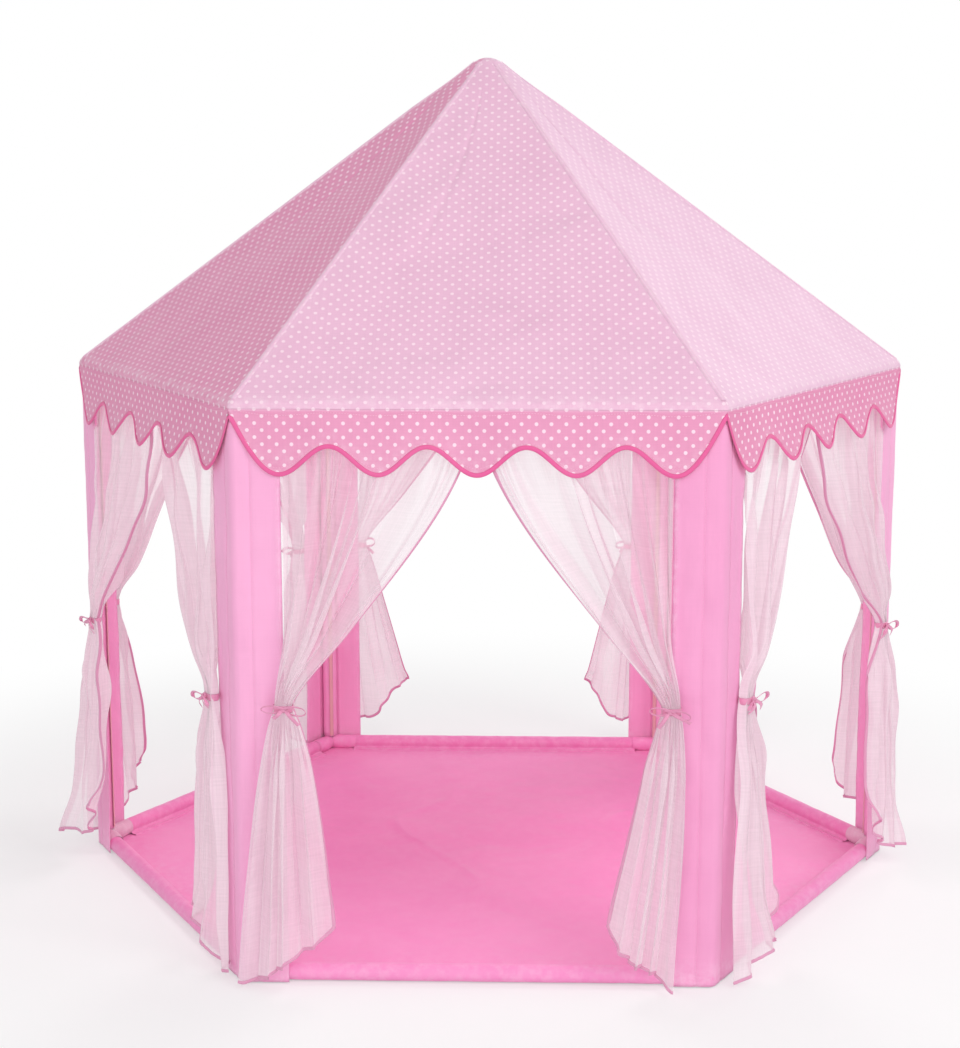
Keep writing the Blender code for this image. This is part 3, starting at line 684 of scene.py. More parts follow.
# %% [markdown]
# ## Geometry Nodes that sew
# Three small trees do the work that repeats. One turns a bay's cloth round the tent and lets it hang unevenly, one
# sweeps a flat tape along a seam, and one sets stitches along it. Each is a real operation at the sewing table, with
# its sizes as named inputs, so the same tree serves every seam of the tent.

# %% Helpers for geometry trees
INPUT_KINDS = {int: "NodeSocketInt", float: "NodeSocketFloat", type(None): "NodeSocketMaterial"}


def new_tree(name, inputs):
    """A tree with a geometry going in and out, and named inputs. An input without a value is a material."""
    tree = bpy.data.node_groups.new(name, "GeometryNodeTree")
    tree.interface.new_socket("Geometry", in_out="INPUT", socket_type="NodeSocketGeometry")
    for label, value in inputs.items():
        socket = tree.interface.new_socket(label, in_out="INPUT", socket_type=INPUT_KINDS[type(value)])
        if value is not None:
            socket.default_value = value
    tree.interface.new_socket("Geometry", in_out="OUTPUT", socket_type="NodeSocketGeometry")
    return tree, node(tree, "NodeGroupInput").outputs, node(tree, "NodeGroupOutput").inputs


def then(tree, kind, geometry, values, **settings):
    """The next node of a chain: its first input takes the geometry so far."""
    made = node(tree, kind, **settings)
    put(tree, made.inputs[0], geometry)
    for label, value in values.items():
        put(tree, made.inputs[label], value)
    return made.outputs[0]


def carried(tree, name, kind="FLOAT"):
    """What the points of the geometry carry under this name."""
    made = node(tree, "GeometryNodeInputNamedAttribute", data_type=kind)
    made.inputs["Name"].default_value = name
    return made.outputs[0]


print("tree helpers ready")

# %% Tree: one bay's cloth turned round the tent


def build_turning():
    """Sets copies of one bay's cloth round the tent, welds them, and lets the slack in them swell."""
    inputs = {"Sides": 6, "Swell Size": 0.17, "Weld": 0.00003, "Seed": 1.0, "Cloth": None}
    tree, given, result = new_tree("bay_turned_round_tent", inputs)
    spots = node(tree, "GeometryNodePoints")
    put(tree, spots.inputs["Count"], given["Sides"])
    turn = reckon(tree, "DIVIDE", math.tau, given["Sides"])
    angle = reckon(tree, "MULTIPLY", node(tree, "GeometryNodeInputIndex").outputs[0], turn)
    rotation = node(tree, "FunctionNodeAxisAngleToRotation")
    put(tree, rotation.inputs["Angle"], angle)
    placing = {"Instance": given["Geometry"], "Rotation": rotation.outputs[0]}
    copies = then(tree, "GeometryNodeInstanceOnPoints", spots.outputs[0], placing)
    label, kinds = {"Name": "bay_angle", "Value": angle}, {"data_type": "FLOAT", "domain": "INSTANCE"}
    marked = then(tree, "GeometryNodeStoreNamedAttribute", copies, label, **kinds)
    real = then(tree, "GeometryNodeRealizeInstances", marked, {})
    welded = then(tree, "GeometryNodeMergeByDistance", real, {"Distance": given["Weld"]})
    swells = node(tree, "ShaderNodeTexNoise", noise_dimensions="4D")
    put(tree, swells.inputs["W"], given["Seed"])
    put(tree, swells.inputs["Scale"], reckon(tree, "DIVIDE", 1.0, given["Swell Size"]))
    swells.inputs["Detail"].default_value = 2.5
    put(tree, swells.inputs["Vector"], node(tree, "GeometryNodeInputPosition").outputs[0])
    bay_angle = carried(tree, "bay_angle")
    spread_out = ramp(tree, swells.outputs[0], 0.28, 0.72)
    loose = reckon(tree, "MULTIPLY", spread_out, carried(tree, "slack"))
    side_bay = reckon(tree, "ABSOLUTE", reckon(tree, "SINE", bay_angle))
    curled = reckon(tree, "MULTIPLY", side_bay, carried(tree, "curl"))
    way = node(tree, "ShaderNodeVectorRotate", rotation_type="Z_AXIS")
    put(tree, way.inputs["Vector"], carried(tree, "lift_way", "FLOAT_VECTOR"))
    put(tree, way.inputs["Angle"], bay_angle)
    offset = node(tree, "ShaderNodeVectorMath", operation="SCALE")
    put(tree, offset.inputs[0], way.outputs[0])
    put(tree, offset.inputs["Scale"], reckon(tree, "ADD", loose, curled))
    hung = then(tree, "GeometryNodeSetPosition", welded, {"Offset": offset.outputs[0]})
    smooth = then(tree, "GeometryNodeSetShadeSmooth", hung, {})
    put(tree, result[0], then(tree, "GeometryNodeSetMaterial", smooth, {"Material": given["Cloth"]}))
    return tree


turning = build_turning()
print("tree:", turning.name)

# %% Tree: a flat tape along a seam


def build_tape():
    """Sweeps a flat tape with rounded edges along paths. Each path's points say which way the tape faces."""
    inputs = {"Tape Width": 0.007, "Tape Thickness": 0.0014, "Cloth": None}
    tree, given, result = new_tree("tape_along_seam", inputs)
    curve = then(tree, "GeometryNodeMeshToCurve", given["Geometry"], {})
    facing = {"Normal": carried(tree, "face_way", "FLOAT_VECTOR")}
    faced = then(tree, "GeometryNodeSetCurveNormal", curve, facing, mode="FREE")
    round_profile = node(tree, "GeometryNodeCurvePrimitiveCircle")
    round_profile.inputs["Resolution"].default_value = 8
    round_profile.inputs["Radius"].default_value = 0.5
    size = node(tree, "ShaderNodeCombineXYZ")
    put(tree, size.inputs[0], given["Tape Thickness"])
    put(tree, size.inputs[1], given["Tape Width"])
    size.inputs[2].default_value = 1.0
    profile = then(tree, "GeometryNodeTransform", round_profile.outputs[0], {"Scale": size.outputs[0]})
    swept = then(tree, "GeometryNodeCurveToMesh", faced, {"Profile Curve": profile, "Fill Caps": True})
    smooth = then(tree, "GeometryNodeSetShadeSmooth", swept, {})
    real = then(tree, "GeometryNodeRealizeInstances", smooth, {})
    put(tree, result[0], then(tree, "GeometryNodeSetMaterial", real, {"Material": given["Cloth"]}))
    return tree


tape = build_tape()
print("tree:", tape.name)

# %% Tree: a running stitch


def build_stitches():
    """Sets small rounded stitches along paths, one at each pitch."""
    inputs = {"Stitch Pitch": 0.004, "Stitch Length": 0.0029, "Thread Thickness": 0.0008, "Thread": None}
    tree, given, result = new_tree("running_stitch", inputs)
    curve = then(tree, "GeometryNodeMeshToCurve", given["Geometry"], {})
    places = then(tree, "GeometryNodeResampleCurve", curve, {"Length": given["Stitch Pitch"]}, mode="LENGTH")
    bead = node(tree, "GeometryNodeMeshUVSphere")
    bead.inputs["Segments"].default_value = 5
    bead.inputs["Rings"].default_value = 4
    bead.inputs["Radius"].default_value = 0.5
    size = node(tree, "ShaderNodeCombineXYZ")
    for axis, label in enumerate(("Thread Thickness", "Thread Thickness", "Stitch Length")):
        put(tree, size.inputs[axis], given[label])
    stitch = then(tree, "GeometryNodeTransform", bead.outputs[0], {"Scale": size.outputs[0]})
    lie = node(tree, "FunctionNodeAlignRotationToVector", axis="Z")
    put(tree, lie.inputs["Vector"], node(tree, "GeometryNodeInputTangent").outputs[0])
    sewn = then(tree, "GeometryNodeInstanceOnPoints", places, {"Instance": stitch, "Rotation": lie.outputs[0]})
    real = then(tree, "GeometryNodeRealizeInstances", sewn, {})
    put(tree, result[0], then(tree, "GeometryNodeSetMaterial", real, {"Material": given["Thread"]}))
    return tree


stitching = build_stitches()
print("tree:", stitching.name)

# %% How a tree is run


def run_tree(name, source, tree, values):
    """Runs a tree on a source mesh and keeps what it makes as a plain mesh."""
    carrier = bpy.data.objects.new(name, source)
    bpy.context.scene.collection.objects.link(carrier)
    modifier = carrier.modifiers.new("sewing", "NODES")
    modifier.node_group = tree
    for item in tree.interface.items_tree:
        if item.item_type == "SOCKET" and item.in_out == "INPUT" and item.name in values:
            modifier[item.identifier] = values[item.name]
    graph = bpy.context.evaluated_depsgraph_get()
    evaluated = carrier.evaluated_get(graph)
    made = bpy.data.meshes.new_from_object(evaluated, preserve_all_data_layers=True, depsgraph=graph)
    bpy.data.objects.remove(carrier)
    made.name = name
    return made


def sew_tape(name, paths, face_ways, width, thickness, material, closed=False):
    """A tape along each path, which faces the way that is given for each of its points."""
    path = path_mesh("path", paths, closed, face_way=face_ways)
    made = run_tree(name, path, tape, {"Tape Width": width, "Tape Thickness": thickness, "Cloth": material})
    return show(name, made, material)


def sew_stitches(name, path, pitch, length, thread):
    """Stitches along the paths of a mesh of edges."""
    values = {"Stitch Pitch": pitch, "Stitch Length": length, "Thread Thickness": thread, "Thread": sewing_thread}
    return show(name, run_tree(name, path, stitching, values), sewing_thread)


print("ready to sew")

# %% [markdown]
# ## The roof canopy
# On the real tent the roof is six triangular gores sewn to one pyramid, drawn tight over the hub and the rafters,
# with a scalloped valance that hangs from the eave of every bay. It could be flat triangles, but cloth under its own
# weight sags a little between the rafters, and the ridges stay straight. So one gore with its valance follows that
# rule on a fine grid, and the first tree turns it round the tent and welds the six into one continuous sheet.

# %% The rule of the scallops
SCALLOPS = 5
TIP_DEPTH, NOTCH_DEPTH, CORNER_DEPTH = 0.0935, 0.053, 0.007


def scallop_depth(place):
    """The valance's depth at a place counted in scallops from the bay's left end: a wave, with rounded ends."""
    scallop = np.minimum(np.floor(place), SCALLOPS - 1)
    from_tip = place - scallop - 0.5
    wave = NOTCH_DEPTH + (TIP_DEPTH - NOTCH_DEPTH) * (1 + np.cos(math.tau * from_tip)) / 2
    end = CORNER_DEPTH + (TIP_DEPTH - CORNER_DEPTH) * np.cos(math.pi * from_tip)
    outer = ((scallop == 0) & (from_tip < 0)) | ((scallop == SCALLOPS - 1) & (from_tip > 0))
    return np.where(outer, end, wave)


print("scallops' depth in mm, from the left end:", (1000 * scallop_depth(np.arange(0, 1.51, 0.25))).round(1))

# %% The rule of a gore
SAG = 0.01
CAP_STEPS, GORE_STEPS, WRAP_STEPS = 5, 62, 5


def gore_rows():
    """(out from the tent's axis, height, share of the way down the gore) on the middle line of a gore."""
    angles = np.linspace(0, ROOF_TILT, CAP_STEPS + 1)
    rows = [(CAP_RADIUS * math.sin(a), CAP_CENTRE + CAP_RADIUS * math.cos(a), 0) for a in angles]
    (top_out, top_height, _), start = rows[-1], math.pi / 2 - ROOF_TILT
    eave = (APOTHEM + ROOF_SKIN * math.sin(ROOF_TILT), EAVE_HEIGHT + ROOF_SKIN * math.cos(ROOF_TILT))
    for s in np.linspace(0, 1, GORE_STEPS + 1)[1:]:
        rows.append((top_out + (eave[0] - top_out) * s, top_height + (eave[1] - top_height) * s, s))
    for a in start * (1 - np.linspace(0, 1, WRAP_STEPS + 1)[1:]):
        rows.append((APOTHEM + ROOF_SKIN * math.cos(a), EAVE_HEIGHT + ROOF_SKIN * math.sin(a), 1))
    return np.array(rows)


def lies_in_gore(rows, across):
    """Points of the front gore for rows and for places across from -1 at its left ridge to 1 at its right."""
    out, height, share = (rows[:, k][:, None] for k in range(3))
    angle = np.arctan(across[None, :] * math.tan(TURN / 2))
    rounding, fullness = 1 - swell(share, 0.0, 0.16), 1.06
    radius = out * (rounding * fullness + (1 - rounding) / np.cos(angle))
    bow = SAG * np.sin(math.pi * share) * (1 - across[None, :] ** 2)
    return np.stack([radius * np.sin(angle), -radius * np.cos(angle), height - bow], axis=-1)


def fold_lines(share, across):
    """Shallow creases left by packing: one from the apex down the left of the gore, and a level one half way down."""
    from_crease = across - (-0.12 - 0.62 * share)
    crease = np.exp(-((from_crease / 0.035) ** 2)) * swell(share, 0.05, 0.2) * (1 - swell(share, 0.5, 0.65))
    level = np.exp(-(((share - 0.47) / 0.008) ** 2)) * (1 - across**4)
    crease_depth, level_depth = 0.0022, 0.0007
    return -crease_depth * crease - level_depth * level


print("rows of a gore:", len(gore_rows()))

# %% One gore: on its rule, creased, and with the slack that lets it swell
GORE_SLACK, GORE_COLUMNS = 0.0075, 100
across = np.linspace(-1, 1, GORE_COLUMNS + 1)
rows = gore_rows()
gore = lies_in_gore(rows, across)
share = rows[:, 2][:, None]
off_slope = np.array([0, -math.sin(ROOF_TILT), math.cos(ROOF_TILT)])
creased = fold_lines(share, across[None, :]) * (share < 1)
gore = gore + off_slope * creased[..., None]
steps = np.hypot(np.diff(rows[:, 0]), np.diff(rows[:, 1]))
down = np.concatenate([[0], np.cumsum(steps)])
gore_uv = np.stack(np.broadcast_arrays(gore[..., 0], down[:, None]), axis=-1)
slack = GORE_SLACK * np.sin(math.pi * np.clip(share, 0, 1)) ** 0.7 * (1 - across[None, :] ** 2) ** 0.8
gore = gore - off_slope * 0.5 * slack[..., None]
from_ridge = (1 - np.abs(across[None, :])) * rows[:, 0][:, None]
ridge_wear = np.maximum(np.exp(-((from_ridge / 0.02) ** 2)), share >= 1)
gore_patch = (gore, gore_uv, {"slack": slack, "curl": 0.0, "lift_way": off_slope, "wear": 0.5 * ridge_wear})
print(f"gore: {down[-1]:.3f} m down its middle")

# %% One valance: straight down from the eave, slack, and curled out a little at its tips
VALANCE_SLACK = 0.008
CURL, TIP_CURL = 0.003, 0.011


def hangs_in_valance(drop, along_share):
    """Points of the valance at shares of the way from the eave to its hem, how far down they are, and their marks."""
    depths = scallop_depth((along_share + 1) / 2 * SCALLOPS)
    along = along_share * (APOTHEM + ROOF_SKIN) * math.tan(TURN / 2)
    held = 1 - np.abs(along_share) ** 6
    tip = (1 + np.cos(math.tau * ((along_share + 1) / 2 * SCALLOPS - 0.5))) / 2
    seam_groove = 0.0009 * np.exp(-((depths * drop / 0.0016) ** 2))
    points = in_bay(along, ROOF_SKIN - seam_groove, EAVE_HEIGHT - depths * drop)
    slackness = VALANCE_SLACK * drop**1.5 * held
    curls = (CURL + TIP_CURL * tip) * drop**2 * held
    return points, depths * drop, slackness, curls


drop = np.concatenate([np.linspace(0, 0.12, 5), np.linspace(0.12, 1, 13)[1:]])[:, None]
valance, fallen, slackness, curls = hangs_in_valance(drop, across[None, :])
valance_uv = np.stack(np.broadcast_arrays(valance[..., 0], down[-1] + fallen), axis=-1)
outward = np.array([0.0, -1.0, 0.0])
valance_patch = (valance, valance_uv, {"slack": slackness, "curl": curls, "lift_way": outward, "wear": 0.5 * drop**4})
print(f"valance: up to {fallen.max() * 1000:.0f} mm deep")

# %% Gore and valance turned round the tent
canopy_source = sheet_mesh("bay", [gore_patch, valance_patch])
roof_values = {"Sides": SIDES, "Swell Size": 0.17, "Seed": 4.2, "Cloth": printed_roof}
canopy = show("roof_canopy_cloth", run_tree("roof_canopy_cloth", canopy_source, turning, roof_values), printed_roof)
print("canopy:", len(canopy.data.polygons), "faces, box", [round(v, 3) for v in points_of(canopy.data).max(0)])

# %% Painted shade on each bay's gore and valance, in the order of the bays: deeper pink on the left gores and on the valances, paler on the right gores
GORE_PAINTED_SHADE = (0.1, 0.4, 0.9, 0.9, 0.15, 0.0)
VALANCE_PAINTED_SHADE = (0.9, 0.9, 1.0, 0.95, 0.8, 1.1)
turns_from_front = np.round(get_marks(canopy.data, "bay_angle") / TURN).astype(int)
own_bay = (turns_from_front + FRONT) % SIDES
gore_painted_shade, valance_painted_shade = np.array(GORE_PAINTED_SHADE)[own_bay], np.array(VALANCE_PAINTED_SHADE)[own_bay]
in_valance = 1 - swell(points_of(canopy.data)[:, 2], EAVE_HEIGHT - 0.004, EAVE_HEIGHT)
# The painted shade runs from the gore's value to the valance's just below the eave.
set_marks(canopy.data, "painted_shade", gore_painted_shade + (valance_painted_shade - gore_painted_shade) * in_valance)
print("front gore and valance:", GORE_PAINTED_SHADE[FRONT], VALANCE_PAINTED_SHADE[FRONT])

# %% [markdown]
# ## Binding and seams of the roof
# A bias tape in hot pink is folded over the valance's raw edge, which keeps the scallops in shape. The tape follows
# the hem through all six bays, so its path goes through the same turning tree as the cloth and swells with it. The
# gores are joined by flat seams that show two rows of stitches on each ridge, and the valance is stitched along the
# eave and along its binding.

# %% Hem binding


def valance_path(share_along, drop_share, proud=0.0):
    """A line along one bay's valance, turned round the tent and let swell as the cloth is."""
    points, _, slackness, curls = hangs_in_valance(np.full_like(share_along, drop_share), share_along)
    ways = np.broadcast_to(outward, points.shape)
    path = path_mesh("path", [points + outward * proud], slack=[slackness], curl=[curls], lift_way=[ways])
    return run_tree("path", path, turning, roof_values)


BINDING_WIDTH, BINDING_THICKNESS = 0.0068, 0.0022
along_share = np.linspace(-1, 1, 241)
hem_path = valance_path(along_share, 1.0)
angle = get_marks(hem_path, "bay_angle")
set_marks(hem_path, "face_way", np.stack([np.sin(angle), -np.cos(angle), np.zeros_like(angle)], axis=-1))
binding_values = {"Tape Width": BINDING_WIDTH, "Tape Thickness": BINDING_THICKNESS, "Cloth": pink_binding}
hem_binding = show("valance_binding", run_tree("valance_binding", hem_path, tape, binding_values), pink_binding)
print("binding:", len(hem_binding.data.polygons), "faces")

# %% Ridge seams, and the stitches of the roof
MIRROR = [-1, 1, 1]
SEAM_HALF_WIDTH, STITCHES_FROM_RIDGE = 0.0055, 0.0035


def ridge_line(share_down, beside):
    """Points beside the right ridge of the front gore, on the skin."""
    slope = gore_rows()[CAP_STEPS : CAP_STEPS + GORE_STEPS + 1]
    rows = np.stack([np.interp(share_down, slope[:, 2], slope[:, k]) for k in range(2)] + [share_down], axis=-1)
    spread = beside / np.maximum(rows[:, 0] * math.tan(TURN / 2), 0.001)
    return np.array([lies_in_gore(rows[k : k + 1], np.array([1 - spread[k]]))[0, 0] for k in range(len(rows))])


share_down = np.linspace(0.0, 1.0, 60)
middle, beside = ridge_line(share_down, 0.0), ridge_line(share_down, SEAM_HALF_WIDTH)
mirrored = turned(beside * MIRROR, TURN)
rise = np.array([0, 0, 0.0007])
strip = np.stack([beside - rise, beside + rise, middle + 2 * rise, mirrored + rise, mirrored - rise], axis=1)
strip_uv = np.stack(np.meshgrid(np.linspace(0, 0.012, 5), share_down * 0.76), axis=-1)
seam_patches = [(turned(strip, angle), strip_uv, {"wear": 0.8}) for angle in bay_turns]
ridge_seams = show("ridge_seams", sheet_mesh("ridge_seams", seam_patches, weld=0), printed_roof)
one_side = ridge_line(share_down, STITCHES_FROM_RIDGE) + 2.2 * rise
other_side = turned(one_side * MIRROR, TURN)
stitch_rows = [turned(line, angle) for line in (one_side, other_side) for angle in bay_turns]
ridge_stitches = sew_stitches("ridge_stitches", path_mesh("path", stitch_rows), 0.004, 0.00288, 0.0008)
eave_line = valance_path(along_share[2:-2], 0.1, 0.0004)
hem_line = valance_path(along_share[3:-3], 0.9, 0.0006)
eave_stitches = sew_stitches("eave_stitches", eave_line, 0.004, 0.0029, 0.0007)
hem_stitches = sew_stitches("hem_stitches", hem_line, 0.004, 0.0029, 0.0007)
roof_stitches = (ridge_stitches, eave_stitches, hem_stitches)
print("stitch faces:", [len(stitches.data.polygons) for stitches in roof_stitches])

# %% [markdown]
# ## Sleeves at the eave
# Inside the eave, a cloth tube holds each rail. It stops short of the corners, where the moulded fitting needs room.
# It shows from inside the tent and from below, so it is a tube of the printed cloth with a few loose creases.

# %% Eave sleeves
SLEEVE_INSET = 0.05


def rail_tube(radius, height, seed, looseness, angles, rows):
    """A cloth tube round a rail of the front bay. Angles are counted up from straight out, in radians."""
    reach = BAY_LENGTH / 2 - SLEEVE_INSET
    along = np.linspace(-reach, reach, rows)[:, None]
    loose = looseness * soft_noise(along, angles[None, :] * radius, 0.05, seed)
    size = radius - np.abs(loose)
    points = in_bay(along, size * np.cos(angles[None, :]), height + size * np.sin(angles[None, :]))
    uv = np.stack(np.broadcast_arrays(along, angles[None, :] * radius), axis=-1)
    return points, uv


full_turn = np.linspace(0, math.tau, 25)
sleeve_patches = []
for bay, angle in enumerate(bay_turns):
    points, uv = rail_tube(SLEEVE_SKIN, EAVE_HEIGHT, 30 + bay, 0.0006, full_turn, 34)
    sleeve_patches.append((turned(points, angle), uv, {"wear": 0.2}))
eave_sleeves = show("eave_sleeves", sheet_mesh("eave_sleeves", sleeve_patches), printed_roof)
print("eave sleeves:", len(eave_sleeves.data.polygons), "faces")

# %% [markdown]
# ## Corner panels
# A corner panel is one width of plain cloth: it is folded round the post into a sleeve, sewn to itself with a seam on
# each side, and left hanging as a flange along both bays, with a hem down each edge. Cloth between two seams is never
# quite flat, so its rows are worked out on a fine grid and swell by a millimetre or two, but only where nothing lies
# against them: the valance covers the top, and the tied curtains rest on the flanges.

# %% The shape of a panel
FLANGE, HEM_FOLD = 0.062, 0.009
SEAM_PLACE = 0.0175
by_seam, by_hem = (0.0165, SEAM_PLACE, 0.0185), (0.0524, 0.0532, 0.057, FLANGE)
flange_steps = np.array([0, 0.006, 0.012, *by_seam, 0.024, 0.030, 0.036, 0.042, 0.048, *by_hem])


def panel_section():
    """The skin's columns from left to right: place from the post, the side's turn, and the arc round the post."""
    left = [(-d, -TURN / 2) for d in flange_steps[::-1]]
    arc = [(0.0, a) for a in np.linspace(-TURN / 2, TURN / 2, 9)[1:-1]]
    right = [(d, TURN / 2) for d in flange_steps]
    return np.array(left + arc + right)


def panel_points(corner, heights):
    """The skin at these heights, row by row, with its UV map and how worn it is."""
    section = panel_section()
    along, way = section[:, 0][None, :], section[:, 1][None, :]
    run = np.cumsum(np.concatenate([[0], np.hypot(np.diff(section[:, 0]), PANEL_SKIN * np.diff(section[:, 1]))]))
    run = (run - run[-1] / 2)[None, :]
    z = heights[:, None]
    free = (1 - swell(z, 0.72, 0.765)) * swell(z, 0.02, 0.12)
    loose = swell(np.abs(along), 0.0, 0.02)
    swells = soft_noise(run * 1.6, z * 0.45, 0.07, 50 + corner) + 0.6 * soft_noise(run * 2.5, z, 0.05, 60 + corner)
    hem = swell(np.abs(along), FLANGE - HEM_FOLD - 0.0004, FLANGE - HEM_FOLD + 0.0004)
    seam = np.exp(-(((np.abs(along) - SEAM_PLACE) / 0.0016) ** 2))
    curl = swell(np.abs(along), 0.03, FLANGE) * free * (0.5 + 0.5 * soft_noise(z, 0 * z, 0.3, 70 + corner))
    swell_height, hem_height, seam_depth, curl_depth = 0.0011, 0.0004, 0.0015, 0.004
    off_skin = swell_height * free * swells * (0.35 + 0.65 * loose)
    off_skin = off_skin + hem_height * hem * free - seam_depth * seam - curl_depth * curl
    radius = PANEL_SKIN + off_skin
    x = radius * np.sin(way) + along * np.cos(TURN / 2)
    y = -radius * np.cos(way) + np.abs(along) * np.sin(TURN / 2) - POST_CIRCUMRADIUS
    points = np.stack(np.broadcast_arrays(x, y, z), axis=-1)
    uv = np.stack(np.broadcast_arrays(run, z), axis=-1)
    edge = np.maximum(swell(np.abs(along), 0.052, 0.06), 1 - swell(z, 0.0, 0.06))
    return points, uv, 0.6 * edge


def sleeve_back(corner, heights):
    """The back of the post's sleeve, which shows from inside the tent."""
    angle = np.linspace(TURN / 2, math.tau - TURN / 2, 21)[None, :]
    z = heights[:, None]
    radius = PANEL_SKIN - 0.0010 - 0.0006 * np.abs(soft_noise(angle * PANEL_SKIN, z, 0.06, 80 + corner))
    x, y = radius * np.sin(angle), -radius * np.cos(angle) - POST_CIRCUMRADIUS
    uv = np.stack(np.broadcast_arrays(angle * PANEL_SKIN, z), axis=-1)
    return np.stack(np.broadcast_arrays(x, y, z), axis=-1), uv


# %% One panel for each corner
PANEL_FOOT, SLEEVE_FOOT = 0.0016, 0.0274
STITCH_LINES = (-0.0555, -0.0205, 0.0205, 0.0555)
# Painted shade: the front right panel is a deeper pink than the other panels.
PAINTED_SHADE_PANEL, PAINTED_SHADE_DEPTH = "front_right", 0.4
panels, panel_stitches = [], []
skin_heights = np.linspace(HANGING_TOP, PANEL_FOOT, 150)
back_heights = np.linspace(HANGING_TOP, SLEEVE_FOOT, 70)
for corner, (name, angle) in enumerate(zip(CORNERS, corner_turns)):
    skin, uv, wear = panel_points(corner, skin_heights)
    back, back_uv = sleeve_back(corner, back_heights)
    painted_shade = PAINTED_SHADE_DEPTH if name == PAINTED_SHADE_PANEL else 0.0
    patches = [
        (turned(skin, angle), uv, {"wear": wear, "painted_shade": painted_shade}),
        (turned(back, angle), back_uv, {"wear": 0.1, "painted_shade": painted_shade}),
    ]
    panel = show("panel_" + name, sheet_mesh("panel_" + name, patches), plain_panel)
    thick = panel.modifiers.new("cloth thickness", "SOLIDIFY")
    thick.thickness, thick.offset = 0.001, -1
    panels.append(panel)
    columns = [int(np.argmin(np.abs(panel_section()[:, 0] - along))) for along in STITCH_LINES]
    lines = [turned(skin[2:-2, column] - [0, 0.0004, 0], angle) for column in columns]
    panel_stitches.append(sew_stitches("panel_stitches_" + name, path_mesh("path", lines), 0.0045, 0.00324, 0.0006))
print("panels:", len(panels), "of", len(panels[0].data.polygons), "faces each")

# %% Pale tape down the inside of each sleeve
TAPE_ASIDE, TAPE_WIDTH, TAPE_THICKNESS = 0.0035, 0.008, 0.0011
z = np.linspace(HANGING_TOP - 0.002, 0.03, 60)
path = np.stack([0 * z + TAPE_ASIDE, 0 * z - POST_CIRCUMRADIUS + PANEL_SKIN + 0.0002, z], axis=-1)
tapes = [turned(path, angle) for angle in corner_turns]
ways = [turned(np.broadcast_to([0.0, 1.0, 0.0], path.shape), angle) for angle in corner_turns]
sleeve_tapes = sew_tape("sleeve_tapes", tapes, ways, TAPE_WIDTH, TAPE_THICKNESS, peach_tape)
print("tape down", len(tapes), "sleeves")

# %% [markdown]
# ## Floor sheet
# The floor is a six-sided sheet with a sleeve sewn along every edge for the base rail. The sleeve stands up as a
# rounded rim with a line of shadow on its inner side, and a flat seam allowance lies beside it. Where three tubes
# meet in a corner, a pocket of cloth covers the fitting. The sheet itself lies loose on the ground, so it keeps a few
# long, low folds.

# %% The sheet and the sleeves along its edges
SHEET_HEIGHT = 0.0018
ALLOWANCE = ((0.0165, 0.0030), (0.0205, 0.0032), (0.0240, 0.0031))
ALLOWANCE_EDGE = (0.0246, 0.0016)


def floor_fold(x, y):
    """How high the loose sheet stands: long low folds, and flat near the sleeves."""
    swells = soft_noise(x, y, 0.5, 90) + 0.7 * soft_noise(x, y, 0.21, 91)
    ridge = np.clip(1 - np.abs(soft_noise(x, y, 0.62, 92)) / 0.10, 0, 1) ** 2
    return 0.0022 * np.clip(swells + 0.6, 0, 2) + 0.0028 * ridge


def floor_sector(angle):
    """One of the sheet's six triangles, in rows from the middle to its edge. Its middle is deeper pink, a painted
    shadow of the roof.
    """
    out = np.linspace(0, 1, 70)[:, None] * APOTHEM
    along = np.linspace(-1, 1, 45)[None, :] * out * math.tan(TURN / 2)
    placed = turned(np.stack(np.broadcast_arrays(along, -out, 0 * along), axis=-1), angle)
    to_edge = APOTHEM - out
    loose = swell(to_edge, 0.022, 0.09)
    placed[..., 2] = SHEET_HEIGHT + loose * floor_fold(placed[..., 0], placed[..., 1])
    wear = 0.10 + 0.5 * (1 - swell(to_edge, 0.0, 0.12))
    # Painted shadow of the roof: deeper pink round a point a little behind the middle.
    from_middle = np.hypot(placed[..., 0] + 0.05, placed[..., 1] - 0.12)
    return placed, placed[..., :2].copy(), {"wear": wear, "painted_shade": 0.75 * (1 - swell(from_middle, 0.1, 0.62))}


def base_sleeve(bay, angle):
    """The sleeve round the base rail, from under the rail, up round it and down to its seam inside."""
    round_rail = np.linspace(-0.5 * math.pi, 1.16 * math.pi, 27)
    points, uv = rail_tube(BASE_SLEEVE_SKIN + 0.0001, BASE_HEIGHT, 95 + bay, 0.0005, round_rail, 60)
    along = points[:, 0, 0]
    puckers = 0.001 * np.abs(soft_noise(along, 0 * along, 0.03, 105 + bay))
    seam = [points[:, -1] + [0, 0.0008, -0.0012]]
    seam += [in_bay(along, -inward, height + puckers) for inward, height in ALLOWANCE]
    seam.append(in_bay(along, -ALLOWANCE_EDGE[0], ALLOWANCE_EDGE[1]))
    seam_uv = np.stack(np.broadcast_arrays(along[:, None], 0.06 + 0.004 * np.arange(len(seam))[None, :]), axis=-1)
    grid = np.concatenate([points, np.stack(seam, axis=1)], axis=1)
    # Painted shade: the base sleeves of every bay but the front are deeper pink.
    marks = {"wear": 0.5, "painted_shade": 0.0 if bay == FRONT else 0.3}
    return turned(grid, angle), np.concatenate([uv, seam_uv], axis=1), marks


floor_patches = []
for bay, angle in enumerate(bay_turns):
    floor_patches += [floor_sector(angle), base_sleeve(bay, angle)]
floor_cloth = show("floor_cloth", sheet_mesh("floor_cloth", floor_patches), coated_floor)
print("floor:", len(floor_cloth.data.polygons), "faces")

# %% Corner pockets: pale lining at the left and right corners, and the floor's own cloth at the others
pale_lining = cloth_material("pale_lining", "E8C0D2", "F2D9E4", 0.7, 0.2, crease=0.003)
POCKET_OUTSIDE, POCKET_INSIDE, POCKET_FULLNESS = 0.01335, 0.0136, 0.20
POCKET_OVERLAP = 0.004


